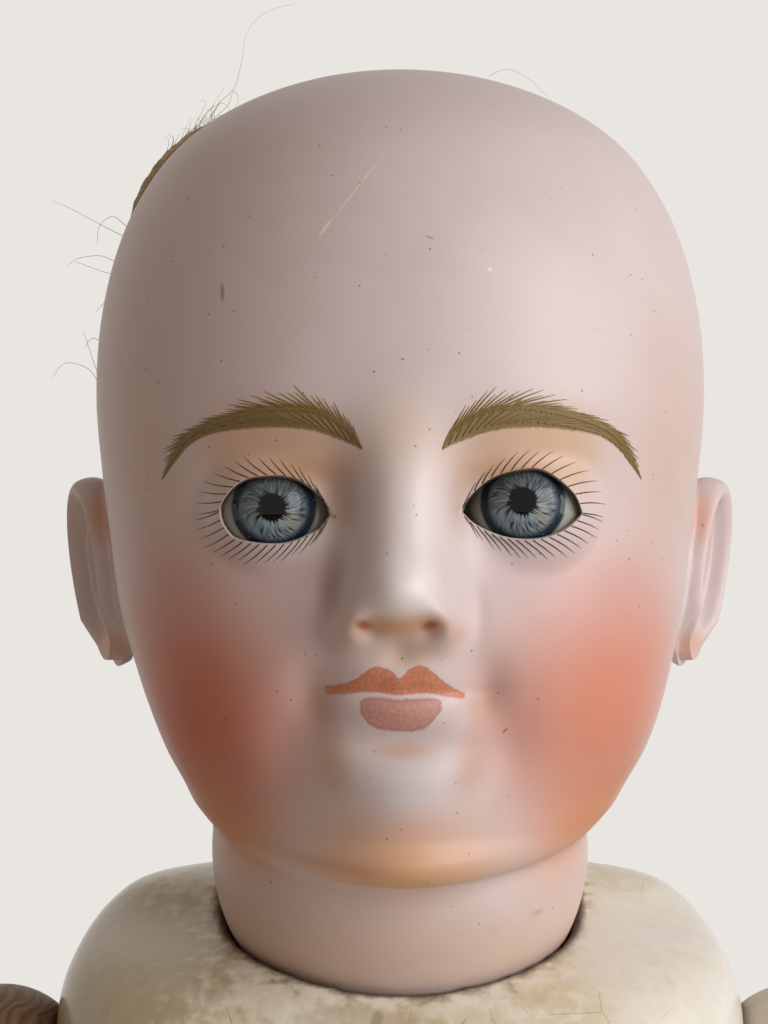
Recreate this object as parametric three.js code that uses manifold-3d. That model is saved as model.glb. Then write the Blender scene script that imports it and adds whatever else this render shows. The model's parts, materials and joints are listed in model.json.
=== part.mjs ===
// An antique doll: a bald bisque socket head with set glass eyes, on a jointed body of
// moulded composition and turned wood that is strung together with elastic cord.
// Millimetres, +Z up. The origin is on the floor, under the middle of the doll's box.
// The doll stands and faces -Y, so its left side is at +X.
import * as THREE from "three";
import { mergeVertices } from "three/addons/utils/BufferGeometryUtils.js";
import Module from "manifold-3d";

const wasm = await Module();
wasm.setup();

// Clearances that the whole doll shares
const runningGap = 0.4; // between a joint ball and the socket that holds it
const seatGap = 0.3; // between two pieces that rest or are glued on each other
const cutOverrun = 3; // how far a cutter runs past what it cuts

// Heights and positions of the joints, each height from the one below it
const kneeHeight = 132;
const thighLength = 115; // hip ball to knee ball
const hipHeight = kneeHeight + thighLength;
const crotchDrop = 11; // how far the crotch hangs below the hip balls
const crotchHeight = hipHeight - crotchDrop;
const torsoHeight = 181; // from the crotch to the centre of the neck's ball
const neckHeight = crotchHeight + torsoHeight; // level with the chin
const shoulderDrop = 34; // how far the shoulder balls lie below the neck's
const shoulderHeight = neckHeight - shoulderDrop;
const hipSpacing = 50;
const shoulderSpacing = 120;
const upperArmLength = 76; // shoulder ball to elbow ball
const forearmLength = 62; // elbow ball to wrist
const armSpreadDegrees = 10; // how far the hanging arm leans out from the body

// Head
const headHeight = 116.8; // from the neck ball's centre to the crown
const headHalfWidth = 45.5;
const headHalfDepth = 51;
const headSetBack = 2; // the skull's middle lies behind the neck's axis
const originForward = 0.9; // the origin lies this far in front of the neck's axis
const bisqueWall = 3.4;
const neckBallRadius = 28.2;
const neckRadius = 27.2; // above the ball, inside the jaw
const neckHoleRadius = 13;
const crownHoleRadius = 1.6;
const crownHoleSpacing = 11;
const earHeight = 29;
const earWidth = 15.5;
const earThickness = 3.4;

// Glass eyes and their plaster
const eyeSpacing = 33;
const eyeHeight = 51; // above the neck ball's centre
const eyeRadius = 9;
const eyeCentreForward = 34.2; // from the neck's axis
const eyeOpeningWidth = 15.4;
const eyeOpeningHeight = 9.2;
const lidThickness = 1.3;
const corneaRadius = 6.4;
const corneaRise = 0.9;
const plasterThickness = 4;

// Neck fittings
const leatherThickness = 1.2;
const buttonHeight = 8;
const hookWireRadius = 1;
const hookBendRadius = 4.2;
const hookDrop = 46; // from the ball's centre to the middle of the hook's bend
const springRadius = 5;
const springWireRadius = 0.6;
const springHeight = 11;
const springTurns = 5;
const washerRadius = 7.2;
const washerThickness = 1.2;

// Torso
const torsoHalfWidth = 51.4;
const torsoHalfDepth = 35;
const torsoWall = 4;
const crotchHalfWidth = 6;
const neckPassageRadius = 14;

// Limbs
const shoulderBallRadius = 13;
const elbowBallRadius = 9.6;
const hipBallRadius = 15;
const kneeBallRadius = 11.2;
const cupWall = 2.5;
const forearmRadius = 10.4;
const wristRadius = 7.4;
const upperArmRadius = 11.4;
const thighRadius = 17.4;
const calfRadius = 14.2;
const ankleRadius = 8.6;
const handLength = 43;
const handWidth = 18;
const handThickness = 8.5;
const footLength = 60;
const footWidth = 25;
const footHeight = 19;
const footSetForward = 9; // the foot's middle lies in front of the leg's axis

// How finely round things are faceted
const headSides = 36;
const hollowSides = 16;
const torsoSides = 22;
const ballSides = 12;
const socketSides = 14;
const limbSides = 12;
const neckSides = 22;
const eyeSides = 14;
const earSides = 14;
const domeSides = 10;
const turnedSides = 16;
const remnantSides = 40;
const wireSides = 6;
const boreSides = 8;
const anchorSides = 10;
const fingerSides = 5;
const loopSteps = 8;
const coilSides = 5;
const ballRingShare = 0.5; // rings of a ball for each of its sides
const limbStepsPerRow = 1.25;

// Stringing
const armElasticRadius = 1.3;
const legElasticRadius = 1.6;
const loopThicknessShare = 0.8; // the cord is drawn thin where it loops through an eyelet
const cordBoreGap = 0.8; // between a cord and a bore that it runs through
const cordPassageGap = 1.5; // between a cord and a slot that it swings in
const eyeletRadius = 3;
const eyeletWireRadius = 0.9;
const eyeletShank = 9;
const anchorDepth = 26; // from a ball's centre down to the eyelet
const cordBow = 4; // how far the arm cord bends forward round the hook
const remnantWidth = 15;
const remnantHeight = 13;
const remnantThickness = 1.1;

const material = (name, color, roughness, metalness = 0) =>
  new THREE.MeshStandardMaterial({ name, color, roughness, metalness });

const finish = {
  bisque: material("bisque", 0xe6c9b8, 0.5),
  glass: material("eye_glass", 0x5d7486, 0.08),
  plaster: material("plaster", 0xe9e3d6, 0.95),
  composition: material("composition", 0xdccfae, 0.4),
  ball: material("turned_wood", 0xc9b48d, 0.55),
  wood: material("button_wood", 0x9a6b3f, 0.7),
  leather: material("leather", 0x7c4f33, 0.75),
  wire: material("iron_wire", 0x6b665f, 0.45, 0.9),
  elastic: material("elastic", 0xcfc8b8, 0.9),
  remnant: material("wig_remnant", 0xb59b66, 0.95),
};

const { PI, abs, sin, cos, sqrt, sign, min, max, hypot, round } = Math;
const fullTurn = 2 * PI;
const radians = THREE.MathUtils.degToRad;
const vec = (x, y, z) => new THREE.Vector3(x, y, z);

// A closed geometry as a solid for joining and cutting
function solidOf(geometry) {
  const plain = geometry.index ? geometry.toNonIndexed() : geometry.clone();
  const bare = new THREE.BufferGeometry();
  bare.setAttribute("position", plain.getAttribute("position"));
  const merged = mergeVertices(bare, 1e-4);
  return new wasm.Manifold(
    new wasm.Mesh({
      numProp: 3,
      vertProperties: merged.attributes.position.array,
      triVerts: new Uint32Array(merged.index.array),
    }),
  );
}

function geometryOf(solid) {
  const mesh = solid.getMesh();
  const geometry = new THREE.BufferGeometry();
  geometry.setAttribute("position", new THREE.BufferAttribute(mesh.vertProperties, mesh.numProp));
  geometry.setIndex(new THREE.BufferAttribute(mesh.triVerts, 1));
  const flat = geometry.toNonIndexed();
  flat.computeVertexNormals();
  return flat;
}

const joined = (solids) => solids.reduce((all, next) => all.add(next));
const cutAway = (body, cutters) => cutters.reduce((rest, cutter) => rest.subtract(cutter), body);

// Skins a stack of equal rings, and closes both ends with a fan to their middles
function loft(rings) {
  const sides = rings[0].length;
  const points = rings.flat();
  const middle = (ring) =>
    ring.reduce((sum, p) => sum.add(p), vec(0, 0, 0)).divideScalar(ring.length);
  const first = points.push(middle(rings[0])) - 1;
  const last = points.push(middle(rings[rings.length - 1])) - 1;
  const index = [];
  const at = (ring, side) => ring * sides + (side % sides);
  for (let ring = 0; ring < rings.length - 1; ring++) {
    for (let side = 0; side < sides; side++) {
      const [a, b] = [at(ring, side), at(ring, side + 1)];
      const [c, d] = [at(ring + 1, side), at(ring + 1, side + 1)];
      index.push(a, b, d, a, d, c);
    }
  }
  for (let side = 0; side < sides; side++) {
    index.push(first, at(0, side + 1), at(0, side));
    index.push(last, at(rings.length - 1, side), at(rings.length - 1, side + 1));
  }
  const geometry = new THREE.BufferGeometry().setFromPoints(points);
  geometry.setIndex(index);
  return geometry;
}

// A smooth curve through the rows of a table, one value per column
function smoothRow(rows, t) {
  const place = min(t, rows.length - 1 - 1e-9);
  const i = Math.floor(place);
  const f = place - i;
  const row = (n) => rows[max(0, min(rows.length - 1, n))];
  return rows[0].map((_, k) => {
    const [a, b, c, d] = [row(i - 1)[k], row(i)[k], row(i + 1)[k], row(i + 2)[k]];
    const bend = (2 * a - 5 * b + 4 * c - d) * f * f + (3 * b - a - 3 * c + d) * f * f * f;
    return (2 * b + (c - a) * f + bend) / 2;
  });
}

// A point of a superellipse: exponent 2 is an ellipse, and more is squarer
function onSuperellipse(angle, halfWidth, halfDepth, exponent) {
  const x = sign(sin(angle)) * abs(sin(angle)) ** (2 / exponent) * halfWidth;
  const y = -sign(cos(angle)) * abs(cos(angle)) ** (2 / exponent) * halfDepth;
  return [x, y];
}

function sphere(radius, centre, sides = socketSides) {
  const geometry = new THREE.SphereGeometry(radius, sides, round(sides * ballRingShare));
  return solidOf(geometry.translate(centre.x, centre.y, centre.z));
}

// The flats of a faceted sphere lie inside its radius by this share
const facetShare = (sides) => cos(PI / sides) * cos(PI / (2 * round(sides * ballRingShare)));

// The hollow that a ball turns in, clear of the ball at its flats too
function socket(ballRadius, centre, sides = socketSides) {
  return sphere((ballRadius + runningGap) / facetShare(sides), centre, sides);
}

function rod(radius, from, to, sides = boreSides) {
  const along = to.clone().sub(from);
  const geometry = new THREE.CylinderGeometry(radius, radius, along.length(), sides);
  const turn = new THREE.Quaternion().setFromUnitVectors(vec(0, 1, 0), along.clone().normalize());
  geometry.applyQuaternion(turn);
  const middle = from.clone().add(to).divideScalar(2);
  return solidOf(geometry.translate(middle.x, middle.y, middle.z));
}

// Everything on the far side of a plane square to axis, out to reach
function beyond(centre, axis, offset, reach) {
  const geometry = new THREE.BoxGeometry(2 * reach, 2 * reach, reach);
  geometry.applyQuaternion(new THREE.Quaternion().setFromUnitVectors(vec(0, 0, 1), axis));
  const middle = centre.clone().addScaledVector(axis, offset + reach / 2);
  return solidOf(geometry.translate(middle.x, middle.y, middle.z));
}

function tubeAlong(points, radius, steps, sides) {
  const section = new THREE.Shape();
  for (let side = 0; side < sides; side++) {
    const angle = (fullTurn * side) / sides;
    const [x, y] = [radius * cos(angle), radius * sin(angle)];
    if (side) section.lineTo(x, y);
    else section.moveTo(x, y);
  }
  section.closePath();
  const path = new THREE.CatmullRomCurve3(points, false, "centripetal");
  return solidOf(new THREE.ExtrudeGeometry(section, { steps, extrudePath: path }));
}

// Head outline, from the neck's root to the crown: height, half width, the middle's depth
// and half depth, as shares of the head's sizes, and how square the section is
const headShares = [
  [-0.0082, 0.12, -0.27, 0.2, 2.0],
  [-0.002, 0.37, -0.19, 0.5, 2.0],
  [0.0225, 0.56, -0.11, 0.655, 2.1],
  [0.0593, 0.675, -0.03, 0.72, 2.2],
  [0.0921, 0.73, 0.0, 0.755, 2.2],
  [0.133, 0.79, 0.015, 0.79, 2.25],
  [0.1842, 0.84, 0.02, 0.83, 2.3],
  [0.2455, 0.885, 0.022, 0.862, 2.3],
  [0.3172, 0.928, 0.03, 0.9, 2.3],
  [0.399, 0.955, 0.04, 0.945, 2.25],
  [0.4809, 0.98, 0.03, 0.975, 2.2],
  [0.5729, 0.997, 0.01, 0.995, 2.15],
  [0.665, 0.985, 0.005, 0.99, 2.1],
  [0.752, 0.94, 0.01, 0.95, 2.05],
  [0.8236, 0.868, 0.02, 0.88, 2.0],
  [0.886, 0.757, 0.03, 0.775, 2.0],
  [0.9351, 0.6, 0.045, 0.62, 2.0],
  [0.972, 0.39, 0.055, 0.41, 2.0],
  [0.9975, 0.12, 0.06, 0.13, 2.0],
];
// How many rings each row of the outline gets: most of them between chin and brow
const faceRings = [1, 1, 1, 1, 2, 3, 4, 4, 4, 3, 2, 2, 1, 1, 1, 1, 1, 1];

// The modelled face: each swelling or hollow has its place across and up the head, its
// spread across and up, and its rise forward, as shares of the head's sizes
const faceShares = [
  [0.37, 0.45, 0.193, 0.0481, -0.032], // eye socket
  [0.38, 0.542, 0.22, 0.043, 0.016], // brow
  [0.0, 0.471, 0.105, 0.0685, 0.04], // root of the nose
  [0.0, 0.398, 0.09, 0.0542, 0.084], // bridge of the nose
  [0.0, 0.338, 0.11, 0.0327, 0.128], // tip of the nose
  [0.132, 0.316, 0.058, 0.0215, 0.07], // nostril wing
  [0.0, 0.233, 0.23, 0.0716, 0.05], // upper and lower jaw behind the lips
  [0.0, 0.242, 0.13, 0.0138, 0.032], // upper lip
  [0.0, 0.204, 0.1, 0.0148, 0.042], // lower lip
  [0.0, 0.166, 0.16, 0.0164, -0.03], // hollow under the lower lip
  [0.0, 0.107, 0.187, 0.0532, 0.106], // chin
  [0.0, 0.0129, 0.21, 0.0256, 0.049], // fullness under the chin
  [0.27, 0.213, 0.07, 0.0307, -0.02], // corner of the mouth
  [0.55, 0.231, 0.242, 0.0941, 0.043], // cheek
];

const frontCrowdingShare = 0.58; // how much closer the head's columns stand on its front
const faceEdgeShare = 0.18; // the face's modelling fades out this far in front of the middle
const smoothStep = (t) => {
  const s = max(0, min(1, t));
  return s * s * (3 - 2 * s);
};

// How far the face stands forward of the plain egg at a place on its front
function faceRelief(x, z) {
  let rise = 0;
  for (const [across, up, spreadAcross, spreadUp, height] of faceShares) {
    const dz = (z / headHeight - up) / spreadUp;
    for (const side of across ? [-1, 1] : [1]) {
      const dx = (x / headHalfWidth - side * across) / spreadAcross;
      rise += height * headHalfDepth * Math.exp(-(dx * dx + dz * dz) / 2);
    }
  }
  return rise;
}

// The eyelids follow the glass eye: the greater of the face and a ball round the eye
function lidForward(x, z) {
  const lidRadius = eyeRadius + lidThickness;
  const away = hypot(abs(x) - eyeSpacing / 2, z - eyeHeight);
  return away < lidRadius ? eyeCentreForward + sqrt(lidRadius ** 2 - away ** 2) : 0;
}

// A ring of the head at a place in the outline table, grown outwards by some amount
function headRing(t, sides, grown, withFace) {
  const [up, across, set, deep, exponent] = smoothRow(headShares, t);
  const z = up * headHeight + grown * (up - 0.5) * 2;
  const halfWidth = across * headHalfWidth + grown * sqrt(min(1, across));
  const halfDepth = deep * headHalfDepth + grown * sqrt(min(1, deep));
  const ring = [];
  for (let side = 0; side < sides; side++) {
    // the columns crowd together on the face
    const share = side / sides;
    const crowding = withFace ? frontCrowdingShare : 0;
    const angle = fullTurn * share - crowding * sin(fullTurn * share);
    const [x, y0] = onSuperellipse(angle, halfWidth, halfDepth, exponent);
    let y = y0 + set * headHalfDepth + headSetBack;
    if (withFace) {
      const front = smoothStep((-y / headHalfDepth - faceEdgeShare) / faceEdgeShare);
      y -= front * faceRelief(x, z);
      const lid = lidForward(x, z);
      if (lid > -y && y < 0) y = -lid;
    }
    ring.push(vec(x, y, z + neckHeight));
  }
  return ring;
}

// The whole egg of the head; the one with a face has rings close enough to carry it
function headForm(sides, grown, withFace) {
  const rings = [];
  faceRings.forEach((count, row) => {
    const steps = withFace ? count : 1;
    for (let step = 0; step < steps; step++) {
      rings.push(headRing(row + step / steps, sides, grown, withFace));
    }
  });
  rings.push(headRing(faceRings.length, sides, grown, withFace));
  return solidOf(loft(rings));
}

// The eyelids' opening, an almond with two corners, pushed through front to back
function eyeOpening(side) {
  const shape = new THREE.Shape();
  const halfWidth = eyeOpeningWidth / 2;
  const fullnessShare = 0.62; // how far the lids' curves stay full towards the corners
  const pullShare = 2 / 3; // a curve's handles stand this far off for it to pass the lid's height
  shape.moveTo(-halfWidth, 0);
  const [pull, rise] = [halfWidth * fullnessShare, eyeOpeningHeight * pullShare];
  shape.bezierCurveTo(-pull, rise, pull, rise, halfWidth, 0);
  shape.bezierCurveTo(pull, -rise, -pull, -rise, -halfWidth, 0);
  const depth = headHalfDepth;
  const geometry = new THREE.ExtrudeGeometry(shape, { depth, bevelEnabled: false, curveSegments: 7 });
  geometry.rotateX(PI / 2);
  const front = -eyeCentreForward;
  return solidOf(geometry.translate((side * eyeSpacing) / 2, front, neckHeight + eyeHeight));
}

const eyeCentre = (side) => vec((side * eyeSpacing) / 2, -eyeCentreForward, neckHeight + eyeHeight);
const neckCentre = vec(0, 0, neckHeight);

const earLeanOutDegrees = 24; // the back edge stands off the head
const earLeanTopDegrees = 9; // the top stands out further than the lobe
const earTipDegrees = 6; // and lies further back
const earNarrowingShare = 0.2; // how much narrower the lobe is than the top
const earPlaceShares = [0.99, 0.1, 0.353]; // of the head's half width, half depth and height
// From the ear's back to the bottom of its dish: share of the outline, and of the thickness
const earShares = [
  [0.86, -0.9],
  [1.0, -0.2],
  [0.98, 0.75],
  [0.84, 1.0],
  [0.68, 0.45],
  [0.4, 0.0],
];

// An ear: a thick leaf, dished inside a rolled rim, with a full lobe
function earSolid(side) {
  const outline = (angle) => {
    const narrowing = 1 - (earNarrowingShare * (1 - sin(angle))) / 2;
    return [(cos(angle) * narrowing * earWidth) / 2, (sin(angle) * earHeight) / 2];
  };
  const rings = earShares.map(([share, out]) =>
    Array.from({ length: earSides }, (_, i) => {
      const [across, up] = outline((fullTurn * i) / earSides);
      return vec(out * earThickness, across * share, up * share);
    }),
  );
  // the mirrored ear is stacked the other way round, so that its faces still point out
  const geometry = loft(side > 0 ? rings : rings.reverse());
  geometry.rotateZ(-radians(earLeanOutDegrees));
  geometry.rotateY(radians(earLeanTopDegrees));
  geometry.rotateX(-radians(earTipDegrees));
  const [across, back, up] = earPlaceShares;
  geometry.translate(across * headHalfWidth, back * headHalfDepth, neckHeight + up * headHeight);
  return solidOf(geometry.scale(side, 1, 1));
}

const headHollow = (shrink) => headForm(hollowSides, -bisqueWall - shrink, false);

const eyeSocketRadius = (eyeRadius + seatGap) / facetShare(eyeSides);
const eyeSocket = (side) => sphere(eyeSocketRadius, eyeCentre(side), eyeSides);

function bisqueHead() {
  const outside = headForm(headSides, 0, true);
  const neckTop = vec(0, 0, neckHeight + neckBallRadius);
  const outer = joined([
    outside,
    sphere(neckBallRadius, neckCentre, neckSides),
    rod(neckRadius, neckCentre, neckTop, neckSides),
    earSolid(1),
    earSolid(-1),
  ]);
  const holeBottom = vec(0, 0, neckHeight - neckBallRadius - cutOverrun);
  const cutters = [
    headHollow(0),
    sphere(neckBallRadius - bisqueWall, neckCentre, hollowSides),
    rod(neckRadius - bisqueWall, neckCentre, neckTop, hollowSides),
    rod(neckHoleRadius, holeBottom, neckCentre, hollowSides),
  ];
  for (const side of [-1, 1]) {
    cutters.push(eyeSocket(side), eyeOpening(side));
  }
  const crown = neckHeight + headHeight;
  for (const [x, y] of [
    [0, crownHoleSpacing],
    [-crownHoleSpacing, 2 * crownHoleSpacing],
    [crownHoleSpacing, 2 * crownHoleSpacing],
  ]) {
    const depth = 5 * bisqueWall;
    cutters.push(rod(crownHoleRadius, vec(x, y, crown - depth), vec(x, y, crown + cutOverrun)));
  }
  return cutAway(outer, cutters);
}

// A blown glass eye: a ball with a clear dome standing over the iris
function glassEye(side) {
  const centre = eyeCentre(side);
  const domeBack = eyeRadius + corneaRise - corneaRadius;
  const dome = sphere(corneaRadius, centre.clone().add(vec(0, -domeBack, 0)), domeSides);
  return sphere(eyeRadius, centre, eyeSides).add(dome);
}

const plasterFrontShare = 0.2; // the plaster starts this far before the eye's middle
const plasterBackShare = 0.85; // and leaves the back of the glass bare from here on

// Plaster poured round the back of an eye, inside the head
function eyePlaster(side) {
  const centre = eyeCentre(side);
  const lump = sphere(eyeRadius + plasterThickness, centre, domeSides);
  const held = lump.intersect(headHollow(seatGap));
  const face = beyond(centre, vec(0, -1, 0), plasterFrontShare * eyeRadius, 3 * eyeRadius);
  const back = beyond(centre, vec(0, 1, 0), plasterBackShare * eyeRadius, 3 * eyeRadius);
  return cutAway(held, [eyeSocket(side), face, back]);
}

const remnantPlaceShares = [-0.78, 0.16, 0.853]; // of the head's half width, half depth and height
const remnantLeanDegrees = 35;

// Glue and a scrap of wig cap left on the side of the bald head
function wigRemnant() {
  const cover = headForm(remnantSides, 2 * seatGap + remnantThickness, false);
  const under = headForm(remnantSides, 2 * seatGap, false);
  const box = new THREE.BoxGeometry(headHalfWidth / 2, remnantWidth, remnantHeight);
  const [across, back, up] = remnantPlaceShares;
  box.rotateY(radians(remnantLeanDegrees));
  box.translate(across * headHalfWidth, back * headHalfDepth, neckHeight + up * headHeight);
  return cover.subtract(under).intersect(solidOf(box));
}

// A turned piece: a profile of radius and height above the neck ball's centre
function turned(profile, sides = turnedSides) {
  const outline = profile.map(([radius, height]) => new THREE.Vector2(radius, height));
  const geometry = new THREE.LatheGeometry([...outline, outline[0]], sides);
  geometry.rotateX(PI / 2);
  return solidOf(geometry.translate(0, 0, neckHeight));
}

const innerNeckRadius = neckBallRadius - bisqueWall;
const leatherOuter = (innerNeckRadius - seatGap) * facetShare(hollowSides);
const buttonRadius = leatherOuter - leatherThickness - seatGap;
const buttonTop = -buttonRadius + buttonHeight;

// Heights of a ball's surface at some radii, written as a profile
const arcProfile = (radius, from, to, steps) =>
  Array.from({ length: steps + 1 }, (_, i) => {
    const angle = from + ((to - from) * i) / steps;
    return [radius * sin(angle), -radius * cos(angle)];
  });

const leatherFromDegrees = 14; // from the neck's axis, at the ball's centre
const leatherToDegrees = 47;

// The leather that lines the neck's bowl, so that the wood turns quietly on the bisque
function neckLeather() {
  const [from, to] = [radians(leatherFromDegrees), radians(leatherToDegrees)];
  const inside = leatherOuter - leatherThickness;
  const profile = [...arcProfile(leatherOuter, from, to, 3), ...arcProfile(inside, to, from, 3)];
  return turned(profile);
}

// The turned wooden button that fills the bottom of the neck
function neckButton() {
  const bore = hookWireRadius + seatGap;
  const start = Math.asin(bore / buttonRadius);
  const end = Math.acos(-buttonTop / buttonRadius);
  return turned([...arcProfile(buttonRadius, start, end, 5), [bore, buttonTop]]);
}

// Prints the least gap that a wound wire leaves to itself, measured on its points
function printLeastGap(name, points, radius, apart) {
  let least = Infinity;
  points.forEach((point, i) => {
    for (const other of points.slice(i + apart)) least = min(least, point.distanceTo(other));
  });
  console.log(name, "least gap to itself:", (least - 2 * radius).toFixed(2), "mm");
}

// The spring that keeps the pull on the hook, wound from one wire
function coilSpring() {
  const stepsPerTurn = 8;
  const points = [];
  const count = springTurns * stepsPerTurn;
  const bottom = neckHeight + buttonTop + seatGap + springWireRadius;
  const rise = springHeight - 2 * springWireRadius;
  for (let i = 0; i <= count; i++) {
    const angle = (fullTurn * i) / stepsPerTurn;
    const [x, y] = [springRadius * cos(angle), springRadius * sin(angle)];
    points.push(vec(x, y, bottom + (rise * i) / count));
  }
  printLeastGap("neck_spring", points, springWireRadius, stepsPerTurn / 2);
  return tubeAlong(points, springWireRadius, count, coilSides);
}

const washerBottom = buttonTop + 2 * seatGap + springHeight;

function springWasher() {
  const bore = hookWireRadius + 2 * seatGap;
  const top = washerBottom + washerThickness;
  return turned([
    [bore, washerBottom],
    [washerRadius, washerBottom],
    [washerRadius, top],
    [bore, top],
  ]);
}

// The wire of the hook's eye, from its end round to the shank, across and up, as shares of
// the hook's bend
const hookEyeShares = [
  [-0.5, 0.12],
  [-0.6, 0.64],
  [-0.53, 1.09],
  [-0.24, 1.39],
  [0.15, 1.43],
  [0.47, 1.18],
  [0.6, 0.75],
  [0.33, 0.12],
  [0, -0.5],
];
const hookTipShare = 0.9; // the hook's open end rises by this share of its bend
const hookSteps = 28;

// The iron wire hook: an eye above the washer, a straight shank and an open hook below
function neckHook() {
  const bend = hookBendRadius;
  const eyeBottom = neckHeight + washerBottom + washerThickness + seatGap + hookWireRadius;
  const low = neckHeight - hookDrop;
  const points = hookEyeShares.map(([across, up]) => vec(across * bend, 0, eyeBottom + up * bend));
  points.push(vec(0, 0, (eyeBottom + low) / 2), vec(0, 0, low + bend / 2));
  const steps = 6;
  for (let i = 0; i <= steps; i++) {
    const angle = -(PI * i) / steps;
    points.push(vec(0, bend * (cos(angle) - 1), low + bend * sin(angle)));
  }
  points.push(vec(0, -2 * bend, low + hookTipShare * bend));
  return tubeAlong(points, hookWireRadius, hookSteps, wireSides);
}

// Torso outline, from the crotch up: height, half width, the middle's depth, half depth,
// and how square the section is
const torsoShares = [
  [0.0, 0.16, 0.09, 0.3, 2.0],
  [0.022, 0.5, 0.15, 0.62, 2.1],
  [0.07, 0.79, 0.09, 0.87, 2.2],
  [0.135, 0.93, 0.05, 0.985, 2.3],
  [0.215, 0.955, 0.01, 1.03, 2.3],
  [0.31, 0.905, -0.07, 1.0, 2.25],
  [0.42, 0.84, -0.15, 0.935, 2.2],
  [0.53, 0.83, -0.12, 0.9, 2.2],
  [0.64, 0.885, -0.03, 0.93, 2.3],
  [0.74, 0.962, 0.02, 0.965, 2.45],
  [0.82, 1.0, 0.045, 0.955, 2.6],
  [0.875, 0.995, 0.09, 0.9, 2.6],
  [0.912, 0.955, 0.18, 0.78, 2.5],
  [0.94, 0.885, 0.4, 0.5, 2.4],
  [0.962, 0.76, 0.46, 0.32, 2.3],
  [0.973, 0.5, 0.51, 0.18, 2.2],
];

function torsoForm(sides, stepsPerRow, grown) {
  const rings = [];
  const last = torsoShares.length - 1;
  for (let t = 0; t <= last + 1e-6; t += 1 / stepsPerRow) {
    const [up, across, set, deep, exponent] = smoothRow(torsoShares, t);
    const halfWidth = across * torsoHalfWidth + grown * min(1, 2 * across);
    const halfDepth = deep * torsoHalfDepth + grown * min(1, 2 * deep);
    const z = crotchHeight + up * torsoHeight + grown * (up - 0.5) * 2;
    rings.push(
      Array.from({ length: sides }, (_, side) => {
        const [x, y] = onSuperellipse((fullTurn * side) / sides, halfWidth, halfDepth, exponent);
        return vec(x, y + set * torsoHalfDepth, z);
      }),
    );
  }
  return solidOf(loft(rings));
}

const shoulderCentre = (side) => vec((side * shoulderSpacing) / 2, 0, shoulderHeight);
const hipCentre = (side) => vec((side * hipSpacing) / 2, 0, hipHeight);

// Which way the torso's leg opening faces away from, and how far above the ball it is cut
const legLine = (side) => vec(-0.33 * side, 0.33, 0.885).normalize();
const legLineShare = 0.86; // of the ball's radius
const legBoreLeanShare = 0.35; // the cord's bore over a hip leans inward by this share of it
const outerCup = (ballRadius) => ballRadius + runningGap + cupWall;

// The hollow torso with its five sockets, before it is parted at the side seams
function torsoBody() {
  const whole = torsoForm(torsoSides, 1, 0);
  const hollow = torsoForm(hollowSides, 1, -torsoWall);
  const closings = [legPlate(1), legPlate(-1), crotchBlock()];
  const shell = joined([whole.subtract(hollow), ...closings.map((solid) => solid.intersect(whole))]);
  const balls = [[neckCentre, neckBallRadius, neckSides]];
  for (const side of [-1, 1]) {
    balls.push([shoulderCentre(side), shoulderBallRadius, socketSides]);
    balls.push([hipCentre(side), hipBallRadius, socketSides]);
  }
  const cups = balls.map(([centre, radius]) =>
    sphere(outerCup(radius) + cupWall / 2, centre).intersect(whole),
  );
  const cutters = balls.map(([centre, radius, sides]) => socket(radius, centre, sides));
  const passageBottom = vec(0, 0, neckHeight - neckBallRadius - 4 * cutOverrun);
  cutters.push(rod(neckPassageRadius, passageBottom, neckCentre, turnedSides));
  for (const side of [-1, 1]) {
    const armBore = armElasticRadius + cordBoreGap;
    const inward = vec(side * (shoulderSpacing / 2 - 2 * shoulderBallRadius), 0, shoulderHeight);
    cutters.push(rod(armBore, inward, shoulderCentre(side)));
    const legBore = legElasticRadius + 2 * cordPassageGap;
    const lean = -side * legBoreLeanShare * hipBallRadius;
    const above = hipCentre(side).add(vec(lean, 0, 2 * hipBallRadius));
    cutters.push(rod(legBore, hipCentre(side), above));
    cutters.push(legOpening(side));
  }
  return cutAway(joined([shell, ...cups]), cutters);
}

// Everything on one side of the strip that runs between the legs
function outsideStrip(side) {
  const size = 4 * torsoHalfWidth;
  const block = new THREE.BoxGeometry(size, size, size);
  return solidOf(block.translate(side * (crotchHalfWidth + size / 2), 0, hipHeight));
}

const legLineOffset = legLineShare * hipBallRadius;

// What is cut away below the leg line
function legOpening(side) {
  const below = legLine(side).negate();
  const cut = beyond(hipCentre(side), below, -legLineOffset, 2 * torsoHalfWidth);
  return cut.intersect(outsideStrip(side));
}

// The wall that closes the torso over a leg, with the hip's socket in its middle
function legPlate(side) {
  const wide = 2 * torsoHalfWidth;
  const above = beyond(hipCentre(side), legLine(side), legLineOffset + torsoWall, 2 * wide);
  const slab = beyond(hipCentre(side), legLine(side), legLineOffset, wide).subtract(above);
  const size = 2 * wide;
  const ownSide = new THREE.BoxGeometry(size, size, size).translate((side * size) / 2, 0, hipHeight);
  return slab.intersect(solidOf(ownSide));
}

// The strip between the legs is solid
function crotchBlock() {
  const block = new THREE.BoxGeometry(2 * crotchHalfWidth, 4 * torsoHalfDepth, 2 * hipBallRadius);
  return solidOf(block.translate(0, 0, crotchHeight));
}

// One of the two moulded halves of the torso, glued along the side seams
function torsoHalf(body, facing) {
  const seam = vec(0, 0, hipHeight);
  return body.subtract(beyond(seam, vec(0, -facing, 0), -seatGap / 2, 8 * torsoHalfDepth));
}

const slotStepDegrees = 20; // how finely a slot's round end is drawn

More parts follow.
